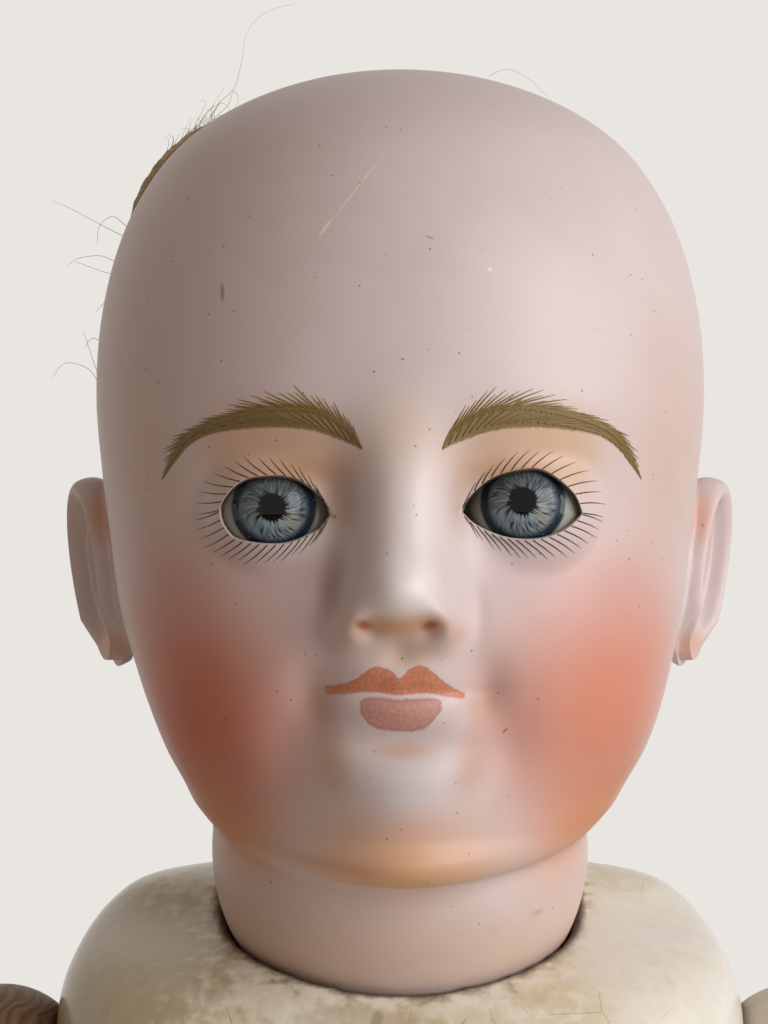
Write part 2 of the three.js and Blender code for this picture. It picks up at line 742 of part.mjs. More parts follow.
// A flat fan cut out of a ball, where a cord swings as the joint bends
function fanSlot(radius, halfThickness, fromDegrees, toDegrees) {
  const shape = new THREE.Shape();
  const reach = radius + cutOverrun;
  const [from, to] = [radians(fromDegrees), radians(toDegrees)];
  const margin = halfThickness;
  shape.moveTo(margin * cos(from - PI / 2), margin * sin(from - PI / 2));
  const steps = max(1, round((toDegrees - fromDegrees) / slotStepDegrees));
  const edge = (angle, turn) => {
    const off = vec(cos(angle + turn), sin(angle + turn), 0).multiplyScalar(margin);
    shape.lineTo(reach * cos(angle) + off.x, reach * sin(angle) + off.y);
  };
  edge(from, -PI / 2);
  for (let i = 0; i <= steps; i++) edge(from + ((to - from) * i) / steps, 0);
  edge(to, PI / 2);
  shape.lineTo(margin * cos(to + PI / 2), margin * sin(to + PI / 2));
  const depth = 2 * halfThickness;
  const geometry = new THREE.ExtrudeGeometry(shape, { depth, bevelEnabled: false, curveSegments: 4 });
  return geometry.translate(0, 0, -halfThickness);
}

const upDegrees = 90;
const downDegrees = -90;

// A loose turned ball: fan slots for the cords to swing in as the joint bends, and a bore.
// A fan's angles start at +X sideways, or at +Y endways, and turn towards +Z.
function jointBall(radius, cordRadius, fans, bore) {
  const half = cordRadius + cordPassageGap;
  const zero = vec(0, 0, 0);
  const cutters = fans.map(({ plane, from, to, widerShare = 1 }) => {
    const slot = fanSlot(radius, half * widerShare, from, to);
    if (plane === "sideways") return solidOf(slot.rotateX(PI / 2));
    return solidOf(slot.rotateY(PI / 2).rotateX(PI / 2));
  });
  if (bore) cutters.push(rod(half, zero, bore.clone().multiplyScalar(radius + cutOverrun)));
  return cutAway(sphere(radius, zero, ballSides), cutters);
}

// Straight limb between two joints. Its rows give the share of its length, and how far it
// reaches sideways, to the front and to the back
function limbLoft(rows, length, sides) {
  const rings = [];
  const last = rows.length - 1;
  const steps = round(last * limbStepsPerRow);
  for (let step = 0; step <= steps; step++) {
    const [down, across, front, back] = smoothRow(rows, (last * step) / steps);
    rings.unshift(
      Array.from({ length: sides }, (_, side) => {
        const [x, y] = onSuperellipse((fullTurn * side) / sides, across, (front + back) / 2, 2);
        return vec(x, y + (back - front) / 2, -down * length);
      }),
    );
  }
  return solidOf(loft(rings));
}

const down = vec(0, 0, -1);
const upward = vec(0, 0, 1);
// How far the joints bend, which sets how the cups and the balls' slots are cut
const elbowFlexDegrees = 75;
const kneeFlexDegrees = 75;
const armRaiseDegrees = 60;
const hipFlexDegrees = 75;
const hipBackDegrees = 10;
const legSpreadDegrees = 25;
const shoulderRimLeanDegrees = 60; // the upper arm's cup opens inward and upward
const shoulderRimTurnDegrees = 25; // and a little forward
const shoulderRimShare = 0.14; // and is cut this share of its radius short of the middle
const cupReachDegrees = 70; // a cup holds its ball out to this angle from its own axis
const cupOffset = (ballRadius) => outerCup(ballRadius) * cos(radians(cupReachDegrees));

// The upper limb's cup leans away from the way the joint bends, so that the cups never meet
const leaningCup = (flexDegrees, towardsBack) => {
  const lean = radians(flexDegrees / 2) * (towardsBack ? 1 : -1);
  return vec(0, sin(lean), cos(lean));
};

function upperArm() {
  const elbow = vec(0, 0, -upperArmLength);
  const zero = vec(0, 0, 0);
  const bore = armElasticRadius + cordBoreGap;
  const top = outerCup(shoulderBallRadius);
  const low = outerCup(elbowBallRadius);
  const rows = [
    [0.1, top * 0.9, top * 0.94, top * 0.94],
    [0.3, upperArmRadius, upperArmRadius * 1.08, upperArmRadius * 1.04],
    [0.55, upperArmRadius * 0.94, upperArmRadius * 1.02, upperArmRadius],
    [0.78, upperArmRadius * 0.9, upperArmRadius * 0.92, upperArmRadius * 0.95],
    [0.97, low * 0.97, low * 0.97, low * 0.97],
  ];
  const body = joined([
    limbLoft(rows, upperArmLength, limbSides),
    sphere(top, zero),
    sphere(low, elbow, limbSides),
  ]);
  const rim = vec(0, 0, 1).applyAxisAngle(vec(0, 1, 0), -radians(shoulderRimLeanDegrees));
  rim.applyAxisAngle(vec(0, 0, 1), radians(shoulderRimTurnDegrees));
  rim.applyAxisAngle(vec(0, 1, 0), radians(armSpreadDegrees));
  const elbowSide = leaningCup(elbowFlexDegrees, true).negate();
  return cutAway(body, [
    beyond(zero, rim, -top * shoulderRimShare, 3 * top),
    beyond(elbow, elbowSide, -cupOffset(elbowBallRadius), 3 * low),
    socket(shoulderBallRadius, zero),
    socket(elbowBallRadius, elbow),
    rod(bore, zero, elbow),
  ]);
}

// A tapering finger through some points, closed by a small end
function finger(points, radii, sides = fingerSides) {
  const rings = points.map((point, i) => {
    const along = points[min(i + 1, points.length - 1)].clone().sub(points[max(i - 1, 0)]).normalize();
    const turn = new THREE.Quaternion().setFromUnitVectors(vec(0, 0, 1), along);
    return Array.from({ length: sides }, (_, side) => {
      const angle = (fullTurn * side) / sides;
      const spoke = vec(cos(angle), sin(angle), 0).multiplyScalar(radii[i]);
      return spoke.applyQuaternion(turn).add(point);
    });
  });
  return solidOf(loft(rings));
}

// The palm's outline from the wrist down: place along it, half thickness, half width, as
// shares of the palm's length and the hand's thickness and width
const palmShares = [
  [-0.3, 0.72, 0.4],
  [0.1, 0.6, 0.4],
  [0.4, 0.56, 0.47],
  [0.75, 0.52, 0.5],
  [1.0, 0.42, 0.46],
];
const palmLengthShare = 0.52;
const palmSquareness = 2.5;
const fingerRadiusShare = 0.132; // of the hand's width
const fingerRootShare = 0.93; // the fingers start inside the palm's end
// Each finger's place across the palm, and its length, as shares of the hand's width and length
const fingerShares = [
  [-0.36, 0.43],
  [-0.12, 0.5],
  [0.12, 0.47],
  [0.36, 0.38],
];
// How a finger bends towards the palm and thins out along its length
const fingerBendShares = [
  [0.0, 0.0, 1.0],
  [0.45, 0.02, 1.0],
  [0.8, 0.12, 0.9],
  [0.95, 0.2, 0.68],
  [1.0, 0.23, 0.35],
];

// A hand of turned wood and composition: the fingers lie together, and the palm faces the leg
function handSolid() {
  const wrist = -forearmLength;
  const palmLength = handLength * palmLengthShare;
  const palm = palmShares.map(([along, thick, wide]) =>
    Array.from({ length: limbSides }, (_, side) => {
      const angle = (fullTurn * side) / limbSides;
      const [x, y] = onSuperellipse(angle, thick * handThickness, wide * handWidth, palmSquareness);
      return vec(x, y, wrist - along * palmLength);
    }),
  );
  const fingerRadius = handWidth * fingerRadiusShare;
  const fingers = fingerShares.map(([across, long]) => {
    const reach = long * handLength;
    const root = vec(0, across * handWidth, wrist - palmLength * fingerRootShare);
    const points = fingerBendShares.map(([along, bend]) => {
      const spread = across * along * fingerRadius;
      return root.clone().add(vec(-bend * reach, spread, -along * reach));
    });
    const radii = fingerBendShares.map(([, , thick]) => thick * fingerRadius);
    return finger(points.reverse(), radii.reverse());
  });
  const thumb = thumbSolid(wrist, palmLength, fingerRadius);
  return joined([solidOf(loft(palm.reverse())), ...fingers, thumb]);
}

// The thumb stands off the front edge of the palm; shares of the palm's length and the
// hand's width, and of a finger's radius
const thumbShares = [
  [0.12, -0.3, -0.02, 1.25],
  [0.4, -0.56, -0.1, 1.2],
  [0.68, -0.66, -0.2, 1.1],
  [0.9, -0.66, -0.28, 0.85],
  [0.97, -0.65, -0.3, 0.4],
];

function thumbSolid(wrist, palmLength, fingerRadius) {
  const points = thumbShares.map(([along, forward, inward]) =>
    vec(inward * handWidth, forward * handWidth, wrist - along * palmLength),
  );
  const radii = thumbShares.map(([, , , thick]) => thick * fingerRadius);
  return finger(points.reverse(), radii.reverse());
}

// The blind bore that holds a limb's elastic, and the hole for the eyelet's shank
function anchorBores(bore) {
  const floor = -anchorDepth - eyeletRadius - eyeletWireRadius - seatGap;
  const end = -anchorDepth - eyeletRadius - eyeletShank - seatGap;
  return [
    rod(bore, vec(0, 0, 0), vec(0, 0, floor), anchorSides),
    rod(eyeletWireRadius + seatGap, vec(0, 0, floor + seatGap), vec(0, 0, end)),
  ];
}

const eyeletBoreRadius = eyeletRadius + eyeletWireRadius + seatGap;

function forearm() {
  const top = outerCup(elbowBallRadius);
  const rows = [
    [0.08, top * 0.97, top * 0.97, top * 0.97],
    [0.3, forearmRadius, forearmRadius * 1.05, forearmRadius],
    [0.62, forearmRadius * 0.86, forearmRadius * 0.92, forearmRadius * 0.88],
    [0.86, wristRadius * 1.02, wristRadius * 1.04, wristRadius],
    [1.02, wristRadius * 0.94, wristRadius * 1.02, wristRadius],
  ];
  const zero = vec(0, 0, 0);
  const cup = sphere(top, zero, limbSides);
  const body = joined([limbLoft(rows, forearmLength, limbSides), cup, handSolid()]);
  return cutAway(body, [
    beyond(zero, upward, -cupOffset(elbowBallRadius), 3 * top),
    socket(elbowBallRadius, zero),
    ...anchorBores(eyeletBoreRadius),
  ]);
}

function thigh() {
  const knee = vec(0, 0, -thighLength);
  const zero = vec(0, 0, 0);
  const top = outerCup(hipBallRadius);
  const low = outerCup(kneeBallRadius);
  const rows = [
    [0.1, top * 0.97, top * 0.95, top * 0.97],
    [0.3, thighRadius, thighRadius, thighRadius],
    [0.55, thighRadius * 0.93, thighRadius * 0.95, thighRadius * 0.93],
    [0.8, low * 1.03, low * 1.04, low],
    [0.97, low * 0.98, low * 0.98, low * 0.98],
  ];
  const body = joined([limbLoft(rows, thighLength, socketSides), sphere(top, zero), sphere(low, knee)]);
  const kneeSide = leaningCup(kneeFlexDegrees, false).negate();
  return cutAway(body, [
    beyond(zero, upward, -cupOffset(hipBallRadius), 3 * top),
    beyond(knee, kneeSide, -cupOffset(kneeBallRadius), 3 * low),
    socket(hipBallRadius, zero),
    socket(kneeBallRadius, knee),
    rod(legElasticRadius + cordBoreGap, zero, knee),
  ]);
}

// The foot's outline along its length, from the heel: place, half width, height, all shares
const footShares = [
  [0.0, 0.28, 0.45],
  [0.05, 0.62, 0.8],
  [0.2, 0.74, 1.0],
  [0.42, 0.72, 0.98],
  [0.62, 0.88, 0.66],
  [0.8, 1.0, 0.5],
  [0.93, 0.86, 0.4],
  [1.0, 0.5, 0.28],
];

const footSquareness = 2.4;

// A foot is flat below and domed above
function footSolid() {
  const sole = -kneeHeight;
  const heel = footLength / 2 - footSetForward;
  const rings = footShares.map(([along, wide, high]) =>
    Array.from({ length: limbSides + 1 }, (_, side) => {
      const angle = PI * (side / limbSides + 0.5);
      const halfWidth = (wide * footWidth) / 2;
      const [across, up] = onSuperellipse(angle, halfWidth, high * footHeight, footSquareness);
      return vec(across, heel - along * footLength, sole + max(0, up));
    }),
  );
  return solidOf(loft(rings));
}

function lowerLeg() {
  const top = outerCup(kneeBallRadius);
  const zero = vec(0, 0, 0);
  const rows = [
    [0.04, top * 0.98, top * 0.98, top * 0.98],
    [0.16, calfRadius * 0.88, calfRadius * 0.9, calfRadius * 0.95],
    [0.34, calfRadius * 0.97, calfRadius * 0.86, calfRadius * 1.18],
    [0.54, calfRadius * 0.86, calfRadius * 0.78, calfRadius * 1.02],
    [0.74, ankleRadius * 1.06, ankleRadius * 1.1, ankleRadius * 1.2],
    [0.86, ankleRadius, ankleRadius * 1.2, ankleRadius * 1.25],
    [0.96, ankleRadius * 0.98, ankleRadius * 1.2, ankleRadius * 1.3],
  ];
  const body = joined([limbLoft(rows, kneeHeight, limbSides), sphere(top, zero), footSolid()]);
  return cutAway(body, [
    beyond(zero, upward, -cupOffset(kneeBallRadius), 3 * top),
    socket(kneeBallRadius, zero),
    ...anchorBores(eyeletBoreRadius),
  ]);
}

// A screw eye: a wire ring on a shank driven into the bottom of the bore
function eyelet() {
  const ring = new THREE.TorusGeometry(eyeletRadius, eyeletWireRadius, coilSides, boreSides);
  ring.rotateY(PI / 2).translate(0, 0, -anchorDepth);
  const shankTop = vec(0, 0, -anchorDepth - eyeletRadius);
  const shankEnd = vec(0, 0, -anchorDepth - eyeletRadius - eyeletShank);
  return solidOf(ring).add(rod(eyeletWireRadius, shankTop, shankEnd, wireSides));
}

// The elastic inside a limb: from the ball's centre down to a loop through the eyelet
function anchoredElastic(radius) {
  const zero = vec(0, 0, 0);
  const loopThickness = radius * loopThicknessShare;
  const loopRadius = loopThickness + eyeletWireRadius + 2 * seatGap;
  const loopCentre = -anchorDepth + eyeletRadius;
  const loop = new THREE.TorusGeometry(loopRadius, loopThickness, wireSides, loopSteps);
  loop.rotateX(PI / 2).translate(0, 0, loopCentre);
  const run = rod(radius, zero, vec(0, 0, loopCentre + loopRadius));
  return joined([run, solidOf(loop)]);
}

// The elastic that runs through a limb from one ball's centre to the next
function throughElastic(radius, length) {
  const start = radius + seatGap;
  return rod(radius, vec(0, 0, -start), vec(0, 0, -length + start));
}

// Where the arm cord runs, as shares of half its length and of its bow
const armCordShares = [
  [-1, 0],
  [-0.72, 0],
  [-0.3, 0.8],
  [0, 1],
  [0.3, 0.8],
  [0.72, 0],
  [1, 0],
];

const armCordSteps = 16;

// The cord across the torso from one shoulder ball to the other, in front of the hook
function armElastic() {
  const half = shoulderSpacing / 2 - armElasticRadius - seatGap;
  const points = armCordShares.map(([across, forward]) =>
    vec(across * half, -forward * cordBow, shoulderHeight),
  );
  return tubeAlong(points, armElasticRadius, armCordSteps, boreSides);
}

// The cord that hangs on the neck hook and runs down to both hip balls
function legElastic() {
  const hang = vec(0, -hookBendRadius, neckHeight - hookDrop - hookBendRadius);
  const archRadius = hookWireRadius + seatGap + legElasticRadius;
  const lean = Math.atan2(hipSpacing / 2, hang.z - hipHeight);
  const arch = [];
  const steps = 6;
  for (let i = 0; i <= steps; i++) {
    const angle = lean + ((PI - 2 * lean) * i) / steps;
    arch.push(vec(archRadius * cos(angle), 0, archRadius * sin(angle)).add(hang));
  }
  const runs = [arch[0], arch[steps]].map((start, i) => {
    const bend = hipCentre(i ? -1 : 1).add(vec(0, 0, legElasticRadius + seatGap));
    return rod(legElasticRadius, start, bend);
  });
  return joined([tubeAlong(arch, legElasticRadius, steps, boreSides), ...runs]);
}

const doll = new THREE.Group();
const standing = new THREE.Group(); // brings the middle of the doll's depth over the origin
standing.position.y = originForward;
doll.add(standing);

function place(parent, name, solid, look) {
  const mesh = new THREE.Mesh(geometryOf(solid), look);
  mesh.name = name;
  parent.add(mesh);
}

place(standing, "bisque_head", bisqueHead(), finish.bisque);
place(standing, "left_eye", glassEye(1), finish.glass);
place(standing, "right_eye", glassEye(-1), finish.glass);
place(standing, "left_eye_plaster", eyePlaster(1), finish.plaster);
place(standing, "right_eye_plaster", eyePlaster(-1), finish.plaster);
place(standing, "wig_remnant", wigRemnant(), finish.remnant);
place(standing, "neck_leather", neckLeather(), finish.leather);
place(standing, "neck_button", neckButton(), finish.wood);
place(standing, "neck_spring", coilSpring(), finish.wire);
place(standing, "spring_washer", springWasher(), finish.wire);
place(standing, "neck_hook", neckHook(), finish.wire);

const torso = torsoBody();
place(standing, "torso_front", torsoHalf(torso, -1), finish.composition);
place(standing, "torso_back", torsoHalf(torso, 1), finish.composition);
place(standing, "torso_arm_elastic", armElastic(), finish.elastic);
place(standing, "torso_leg_elastic", legElastic(), finish.elastic);

// One arm hangs from its shoulder ball, leaning out a little; the other is its mirror image
function addArm(side, word) {
  const half = new THREE.Group();
  half.scale.x = side;
  standing.add(half);
  const shoulder = new THREE.Group();
  shoulder.position.copy(shoulderCentre(1));
  shoulder.rotation.y = -radians(armSpreadDegrees);
  half.add(shoulder);
  const elbow = new THREE.Group();
  elbow.position.z = -upperArmLength;
  shoulder.add(elbow);
  const inward = vec(-1, 0, 0).applyAxisAngle(vec(0, 1, 0), radians(armSpreadDegrees));
  const shoulderFan = { plane: "sideways", from: downDegrees, to: downDegrees + armRaiseDegrees };
  const elbowFan = { plane: "endways", from: upDegrees, to: upDegrees + elbowFlexDegrees };
  const shoulderBall = jointBall(shoulderBallRadius, armElasticRadius, [shoulderFan], inward);
  const elbowBall = jointBall(elbowBallRadius, armElasticRadius, [elbowFan], down);
  place(shoulder, `${word}_shoulder_ball`, shoulderBall, finish.ball);
  place(shoulder, `${word}_upper_arm`, upperArm(), finish.composition);
  const runningElastic = throughElastic(armElasticRadius, upperArmLength);
  place(shoulder, `${word}_upper_arm_elastic`, runningElastic, finish.elastic);
  place(elbow, `${word}_elbow_ball`, elbowBall, finish.ball);
  place(elbow, `${word}_forearm`, forearm(), finish.composition);
  place(elbow, `${word}_forearm_elastic`, anchoredElastic(armElasticRadius), finish.elastic);
  place(elbow, `${word}_forearm_eyelet`, eyelet(), finish.wire);
}

const hipSlotWiderShare = 1.4; // the upper slot of a hip ball also clears the slanting cord

function addLeg(side, word) {
  const half = new THREE.Group();
  half.scale.x = side;
  standing.add(half);
  const hip = new THREE.Group();
  hip.position.copy(hipCentre(1));
  half.add(hip);
  const knee = new THREE.Group();
  knee.position.z = -thighLength;
  hip.add(knee);
  const hipFans = [
    {
      plane: "endways",
      from: upDegrees - hipBackDegrees,
      to: upDegrees + hipFlexDegrees,
      widerShare: hipSlotWiderShare,
    },
    { plane: "sideways", from: downDegrees, to: downDegrees + legSpreadDegrees },
  ];
  const kneeFan = { plane: "endways", from: upDegrees - kneeFlexDegrees, to: upDegrees };
  const kneeBall = jointBall(kneeBallRadius, legElasticRadius, [kneeFan], down);
  place(hip, `${word}_hip_ball`, jointBall(hipBallRadius, legElasticRadius, hipFans), finish.ball);
  place(hip, `${word}_thigh`, thigh(), finish.composition);
  place(hip, `${word}_thigh_elastic`, throughElastic(legElasticRadius, thighLength), finish.elastic);
  place(knee, `${word}_knee_ball`, kneeBall, finish.ball);
  place(knee, `${word}_lower_leg`, lowerLeg(), finish.composition);
  place(knee, `${word}_lower_leg_elastic`, anchoredElastic(legElasticRadius), finish.elastic);
  place(knee, `${word}_lower_leg_eyelet`, eyelet(), finish.wire);
}

addArm(1, "left");
addArm(-1, "right");
addLeg(1, "left");
addLeg(-1, "right");

export default doll;
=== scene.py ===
# An antique bisque head doll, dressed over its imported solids. The head is the painted and
# fired piece that a collector looks at, and the jointed body below is varnished composition.
import math

import bpy
import numpy as np
from mathutils import Matrix, Vector
from mathutils.bvhtree import BVHTree
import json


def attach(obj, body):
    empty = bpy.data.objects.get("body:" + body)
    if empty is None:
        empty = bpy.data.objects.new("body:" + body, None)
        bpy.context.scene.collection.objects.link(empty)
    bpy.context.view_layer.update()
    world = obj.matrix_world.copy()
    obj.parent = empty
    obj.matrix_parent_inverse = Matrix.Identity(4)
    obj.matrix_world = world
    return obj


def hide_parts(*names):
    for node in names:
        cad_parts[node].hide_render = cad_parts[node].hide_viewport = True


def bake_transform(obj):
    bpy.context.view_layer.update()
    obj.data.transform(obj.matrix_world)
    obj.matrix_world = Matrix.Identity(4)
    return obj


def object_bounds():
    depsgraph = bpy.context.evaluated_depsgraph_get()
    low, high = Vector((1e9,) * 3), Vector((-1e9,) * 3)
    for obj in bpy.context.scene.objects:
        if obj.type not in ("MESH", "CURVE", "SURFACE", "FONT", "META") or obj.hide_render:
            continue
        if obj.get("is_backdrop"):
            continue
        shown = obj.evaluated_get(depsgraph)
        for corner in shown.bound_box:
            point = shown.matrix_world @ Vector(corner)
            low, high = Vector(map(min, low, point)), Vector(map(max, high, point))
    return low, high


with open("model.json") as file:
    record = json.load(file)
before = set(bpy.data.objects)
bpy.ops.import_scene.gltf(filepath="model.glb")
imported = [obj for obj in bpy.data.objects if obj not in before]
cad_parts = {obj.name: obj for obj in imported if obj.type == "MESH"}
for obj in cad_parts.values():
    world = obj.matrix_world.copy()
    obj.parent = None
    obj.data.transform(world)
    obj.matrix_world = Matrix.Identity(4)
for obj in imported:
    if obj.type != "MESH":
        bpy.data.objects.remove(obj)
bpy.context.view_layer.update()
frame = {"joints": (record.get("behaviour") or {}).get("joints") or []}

# The camera stands straight in front of the doll, level with its eyes, with the short
# telephoto lens and the near distance of a portrait that the head fills.
millimetre = 0.001
neck_pivot = np.array(next(j["pos_m"] for j in frame["joints"] if j["name"] == "head_turn"))
picture_height_pixels = 1024
focal_pixels = 2178
sensor_mm = 36.0
camera_from_neck_mm = (-2.4, -328.0, 50.3)

camera = bpy.data.objects.new("portrait_camera", bpy.data.cameras.new("portrait_camera"))
bpy.context.collection.objects.link(camera)
camera.data.sensor_width = sensor_mm
camera.data.lens = focal_pixels / picture_height_pixels * sensor_mm
camera.location = neck_pivot + np.array(camera_from_neck_mm) * millimetre
camera.rotation_euler = (math.radians(90), 0, 0)
bpy.context.scene.camera = camera


# The doll stands on a pale paper floor in soft daylight: a wide window to its left, which is
# the picture's right, and the even light that a pale room throws back.
def linear(hex_colour):
    """An sRGB hex colour as the linear colour that a shader takes."""
    shares = [int(hex_colour[i : i + 2], 16) / 255 for i in (1, 3, 5)]
    curve = [c / 12.92 if c <= 0.04045 else ((c + 0.055) / 1.055) ** 2.4 for c in shares]
    return (*curve, 1.0)


def add(tree, kind, links=(), **settings):
    """Adds a node, sets it, and gives its inputs their values or what feeds them.

    A kind without a prefix is a shader node. The inputs are named, or listed in their own
    order. A node that feeds an input does so from its first live output.
    """
    made = tree.nodes.new(kind if "Node" in kind else f"ShaderNode{kind}")
    for name, value in settings.items():
        setattr(made, name, value)
    for socket, value in links.items() if isinstance(links, dict) else enumerate(links):
        if isinstance(value, bpy.types.Node):
            value = next(output for output in value.outputs if output.enabled)
        if isinstance(value, bpy.types.NodeSocket):
            tree.links.new(value, made.inputs[socket])
        else:
            made.inputs[socket].default_value = value
    return made


def new_material(name):
    """A material whose tree holds only its output."""
    material = bpy.data.materials.new(name)
    material.use_nodes = True
    material.node_tree.nodes.clear()
    return material, material.node_tree


room_brightness = 0.22
room_colour = "#FFDFC4"
backdrop_colour = "#E9E6E1"
window_colour = (0.99, 0.98, 0.98)
window_watts = 4.25
window_size = 0.55
window_from_neck = (0.54, -0.42, 0.19)

world = bpy.data.worlds.new("pale_room")
bpy.context.scene.world = world
world.use_nodes = True
world.node_tree.nodes.clear()
sky = world.node_tree
rays = add(sky, "LightPath")
seen = add(
    sky, "Math", [rays.outputs["Is Camera Ray"], rays.outputs["Is Glossy Ray"]], operation="MAXIMUM"
)
shown = add(sky, "Math", [seen, rays.outputs["Is Transmission Ray"]], operation="MAXIMUM")
room = add(sky, "Background", {"Color": linear(room_colour), "Strength": room_brightness})
paper = add(sky, "Background", {"Color": linear(backdrop_colour), "Strength": 1.0})
chosen = add(sky, "MixShader", [shown, room, paper])
add(sky, "OutputWorld", {"Surface": chosen})

window_light = bpy.data.objects.new("window_light", bpy.data.lights.new("window_light", "AREA"))
bpy.context.collection.objects.link(window_light)
window_light.data.energy = window_watts
window_light.data.color = window_colour
window_light.data.size = window_size
window_light.location = neck_pivot + np.array(window_from_neck)
towards_face = Vector(neck_pivot + np.array((0, 0, 0.04))) - window_light.location
window_light.rotation_euler = towards_face.to_track_quat("-Z", "Y").to_euler()

floor_radius = 1.5
floor_colour = "#F8F6F3"
floor_glow = 0.7
floor_sides = 96
floor_angles = [2 * math.pi * i / floor_sides for i in range(floor_sides)]
floor_mesh = bpy.data.meshes.new("paper_floor")
floor_ring = [(floor_radius * math.cos(a), floor_radius * math.sin(a), 0) for a in floor_angles]
floor_mesh.from_pydata(floor_ring, [], [list(range(floor_sides))])
paper_floor = bpy.data.objects.new("paper_floor", floor_mesh)
bpy.context.collection.objects.link(paper_floor)
paper_look, tree = new_material("pale matt paper")
shader = add(tree, "BsdfPrincipled", {"Base Color": linear(floor_colour), "Roughness": 0.9})
# the camera sees it nearly as pale as the backdrop; the doll gets only the light it reflects
paper_glow = add(tree, "Emission", {"Color": linear(backdrop_colour)})
seen = add(
    tree, "Math", [add(tree, "LightPath").outputs["Is Camera Ray"], floor_glow], operation="MULTIPLY"
)
shader = add(tree, "MixShader", [seen, shader, paper_glow])
add(tree, "OutputMaterial", {"Surface": shader})
floor_mesh.materials.append(paper_look)
paper_floor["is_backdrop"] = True

bpy.context.scene.view_settings.view_transform = "Standard"

# The head: fine porcelain slip poured in a two part mould and fired unglazed, which gives
# bisque. It is one hollow shell from the closed crown down to the ball that seats in the
# body, with the eye openings cut while the clay was soft.
head_height = 116.8
head_half_width = 45.5
head_half_depth = 51.0
head_set_back = 2.0
bisque_wall = 3.4
neck_ball_radius = 28.2
neck_radius = 27.2
neck_hole_radius = 13.0
eye_spacing = 33.0
eye_height = 51.0
eye_forward = 34.2
eye_radius = 9.0
eye_gap = 0.3
lid_radius = 10.2

# Height, half width, set back, half depth and squareness of the plain egg, all shares
head_shares = [
    (-0.0082, 0.12, -0.27, 0.2, 2.0),
    (-0.002, 0.37, -0.19, 0.5, 2.0),
    (0.0225, 0.56, -0.11, 0.655, 2.1),
    (0.0593, 0.675, -0.03, 0.72, 2.2),
    (0.0921, 0.73, 0.0, 0.755, 2.2),
    (0.133, 0.79, 0.015, 0.79, 2.25),
    (0.1842, 0.84, 0.02, 0.83, 2.3),
    (0.2455, 0.885, 0.022, 0.862, 2.3),
    (0.3172, 0.928, 0.03, 0.9, 2.3),
    (0.399, 0.955, 0.04, 0.945, 2.25),
    (0.4809, 0.98, 0.03, 0.975, 2.2),
    (0.5729, 0.997, 0.01, 0.995, 2.15),
    (0.665, 0.985, 0.005, 0.99, 2.1),
    (0.752, 0.94, 0.01, 0.95, 2.05),
    (0.8236, 0.868, 0.02, 0.88, 2.0),
    (0.886, 0.757, 0.03, 0.775, 2.0),
    (0.9351, 0.6, 0.045, 0.62, 2.0),
    (0.972, 0.39, 0.055, 0.41, 2.0),
    (0.9975, 0.12, 0.06, 0.13, 2.0),
]
# The modelled face: across and up from the neck's middle, spread across and up, and rise
face_middle = -0.5
jaw_shift = 0.8
face_forms = [
    (16.8, 52.6, 8.8, 5.6, -1.5),  # eye socket
    (8.6, 53.0, 2.8, 4.0, -1.3),  # inner corner of the socket
    (17.3, 63.8, 10.0, 4.6, 0.9),  # brow
    (2.3, 55.0, 3.7, 8.0, 1.15),  # root of the nose, broad and flat
    (2.8, 46.5, 3.1, 6.6, 3.05),  # bridge
    (0.0, 39.8, 4.6, 3.8, 4.2),  # tip
    (3.1, 39.4, 3.0, 3.3, 2.1),  # its roundness to both sides
    (0.0, 36.0, 2.4, 1.7, 1.0),  # underside of the tip
    (6.3, 35.9, 2.0, 2.2, 4.2),  # nostril wing
    (4.1, 35.3, 1.3, 0.9, -1.9),  # nostril
    (9.4, 36.6, 1.3, 2.8, -1.1),  # crease round the wing
    (0.0, 27.4, 9.0, 7.8, 2.6),  # the jaws behind the lips
    (0.0, 32.4, 1.3, 2.0, -0.7),  # groove over the lip
    (3.3, 29.4, 2.8, 1.4, 0.7),  # the upper lip's two peaks
    (0.0, 28.4, 1.0, 1.2, 0.4),  # and the drop between them
    (0.0, 24.2, 4.6, 1.7, 1.2),  # lower lip
    (0.0, 26.7, 7.6, 0.55, -0.5),  # line of the mouth
    (0.0, 19.7, 6.4, 1.9, -1.7),  # hollow under the lower lip
    (0.0, 12.5, 8.5, 6.2, 5.4),  # chin
    (0.0, 1.5, 9.6, 3.0, 2.5),  # fullness under the chin
    (11.2, 26.4, 2.2, 3.2, -1.9),  # corner of the mouth
    (14.0, 20.0, 3.2, 5.0, -1.5),  # fold between chin and cheek
    (25.0, 27.0, 11.0, 11.0, 2.2),  # cheek
]
mouth_zone_top = 45.0
jaw_shift_height = 16.0
lid_softness = 0.9
face_start_share = 0.18
front_crowding_share = 0.58


def smooth_rows(table, t):
    """A smooth curve through the rows of a table, at the places t."""
    rows = np.array(table, float)
    last = len(rows) - 1
    place = np.clip(t, 0, last - 1e-9)
    i = place.astype(int)
    f = (place - i)[:, None]
    a, b, c, d = (rows[np.clip(i + n, 0, last)] for n in (-1, 0, 1, 2))
    return (2 * b + (c - a) * f + (2 * a - 5 * b + 4 * c - d) * f**2 + (3 * b - a - 3 * c + d) * f**3) / 2


def superellipse(angle, half_width, half_depth, power):
    """A rounded outline from the front counterclockwise; power 2 is an ellipse."""
    x = np.sign(np.sin(angle)) * np.abs(np.sin(angle)) ** (2 / power) * half_width
    y = -np.sign(np.cos(angle)) * np.abs(np.cos(angle)) ** (2 / power) * half_depth
    return x, y


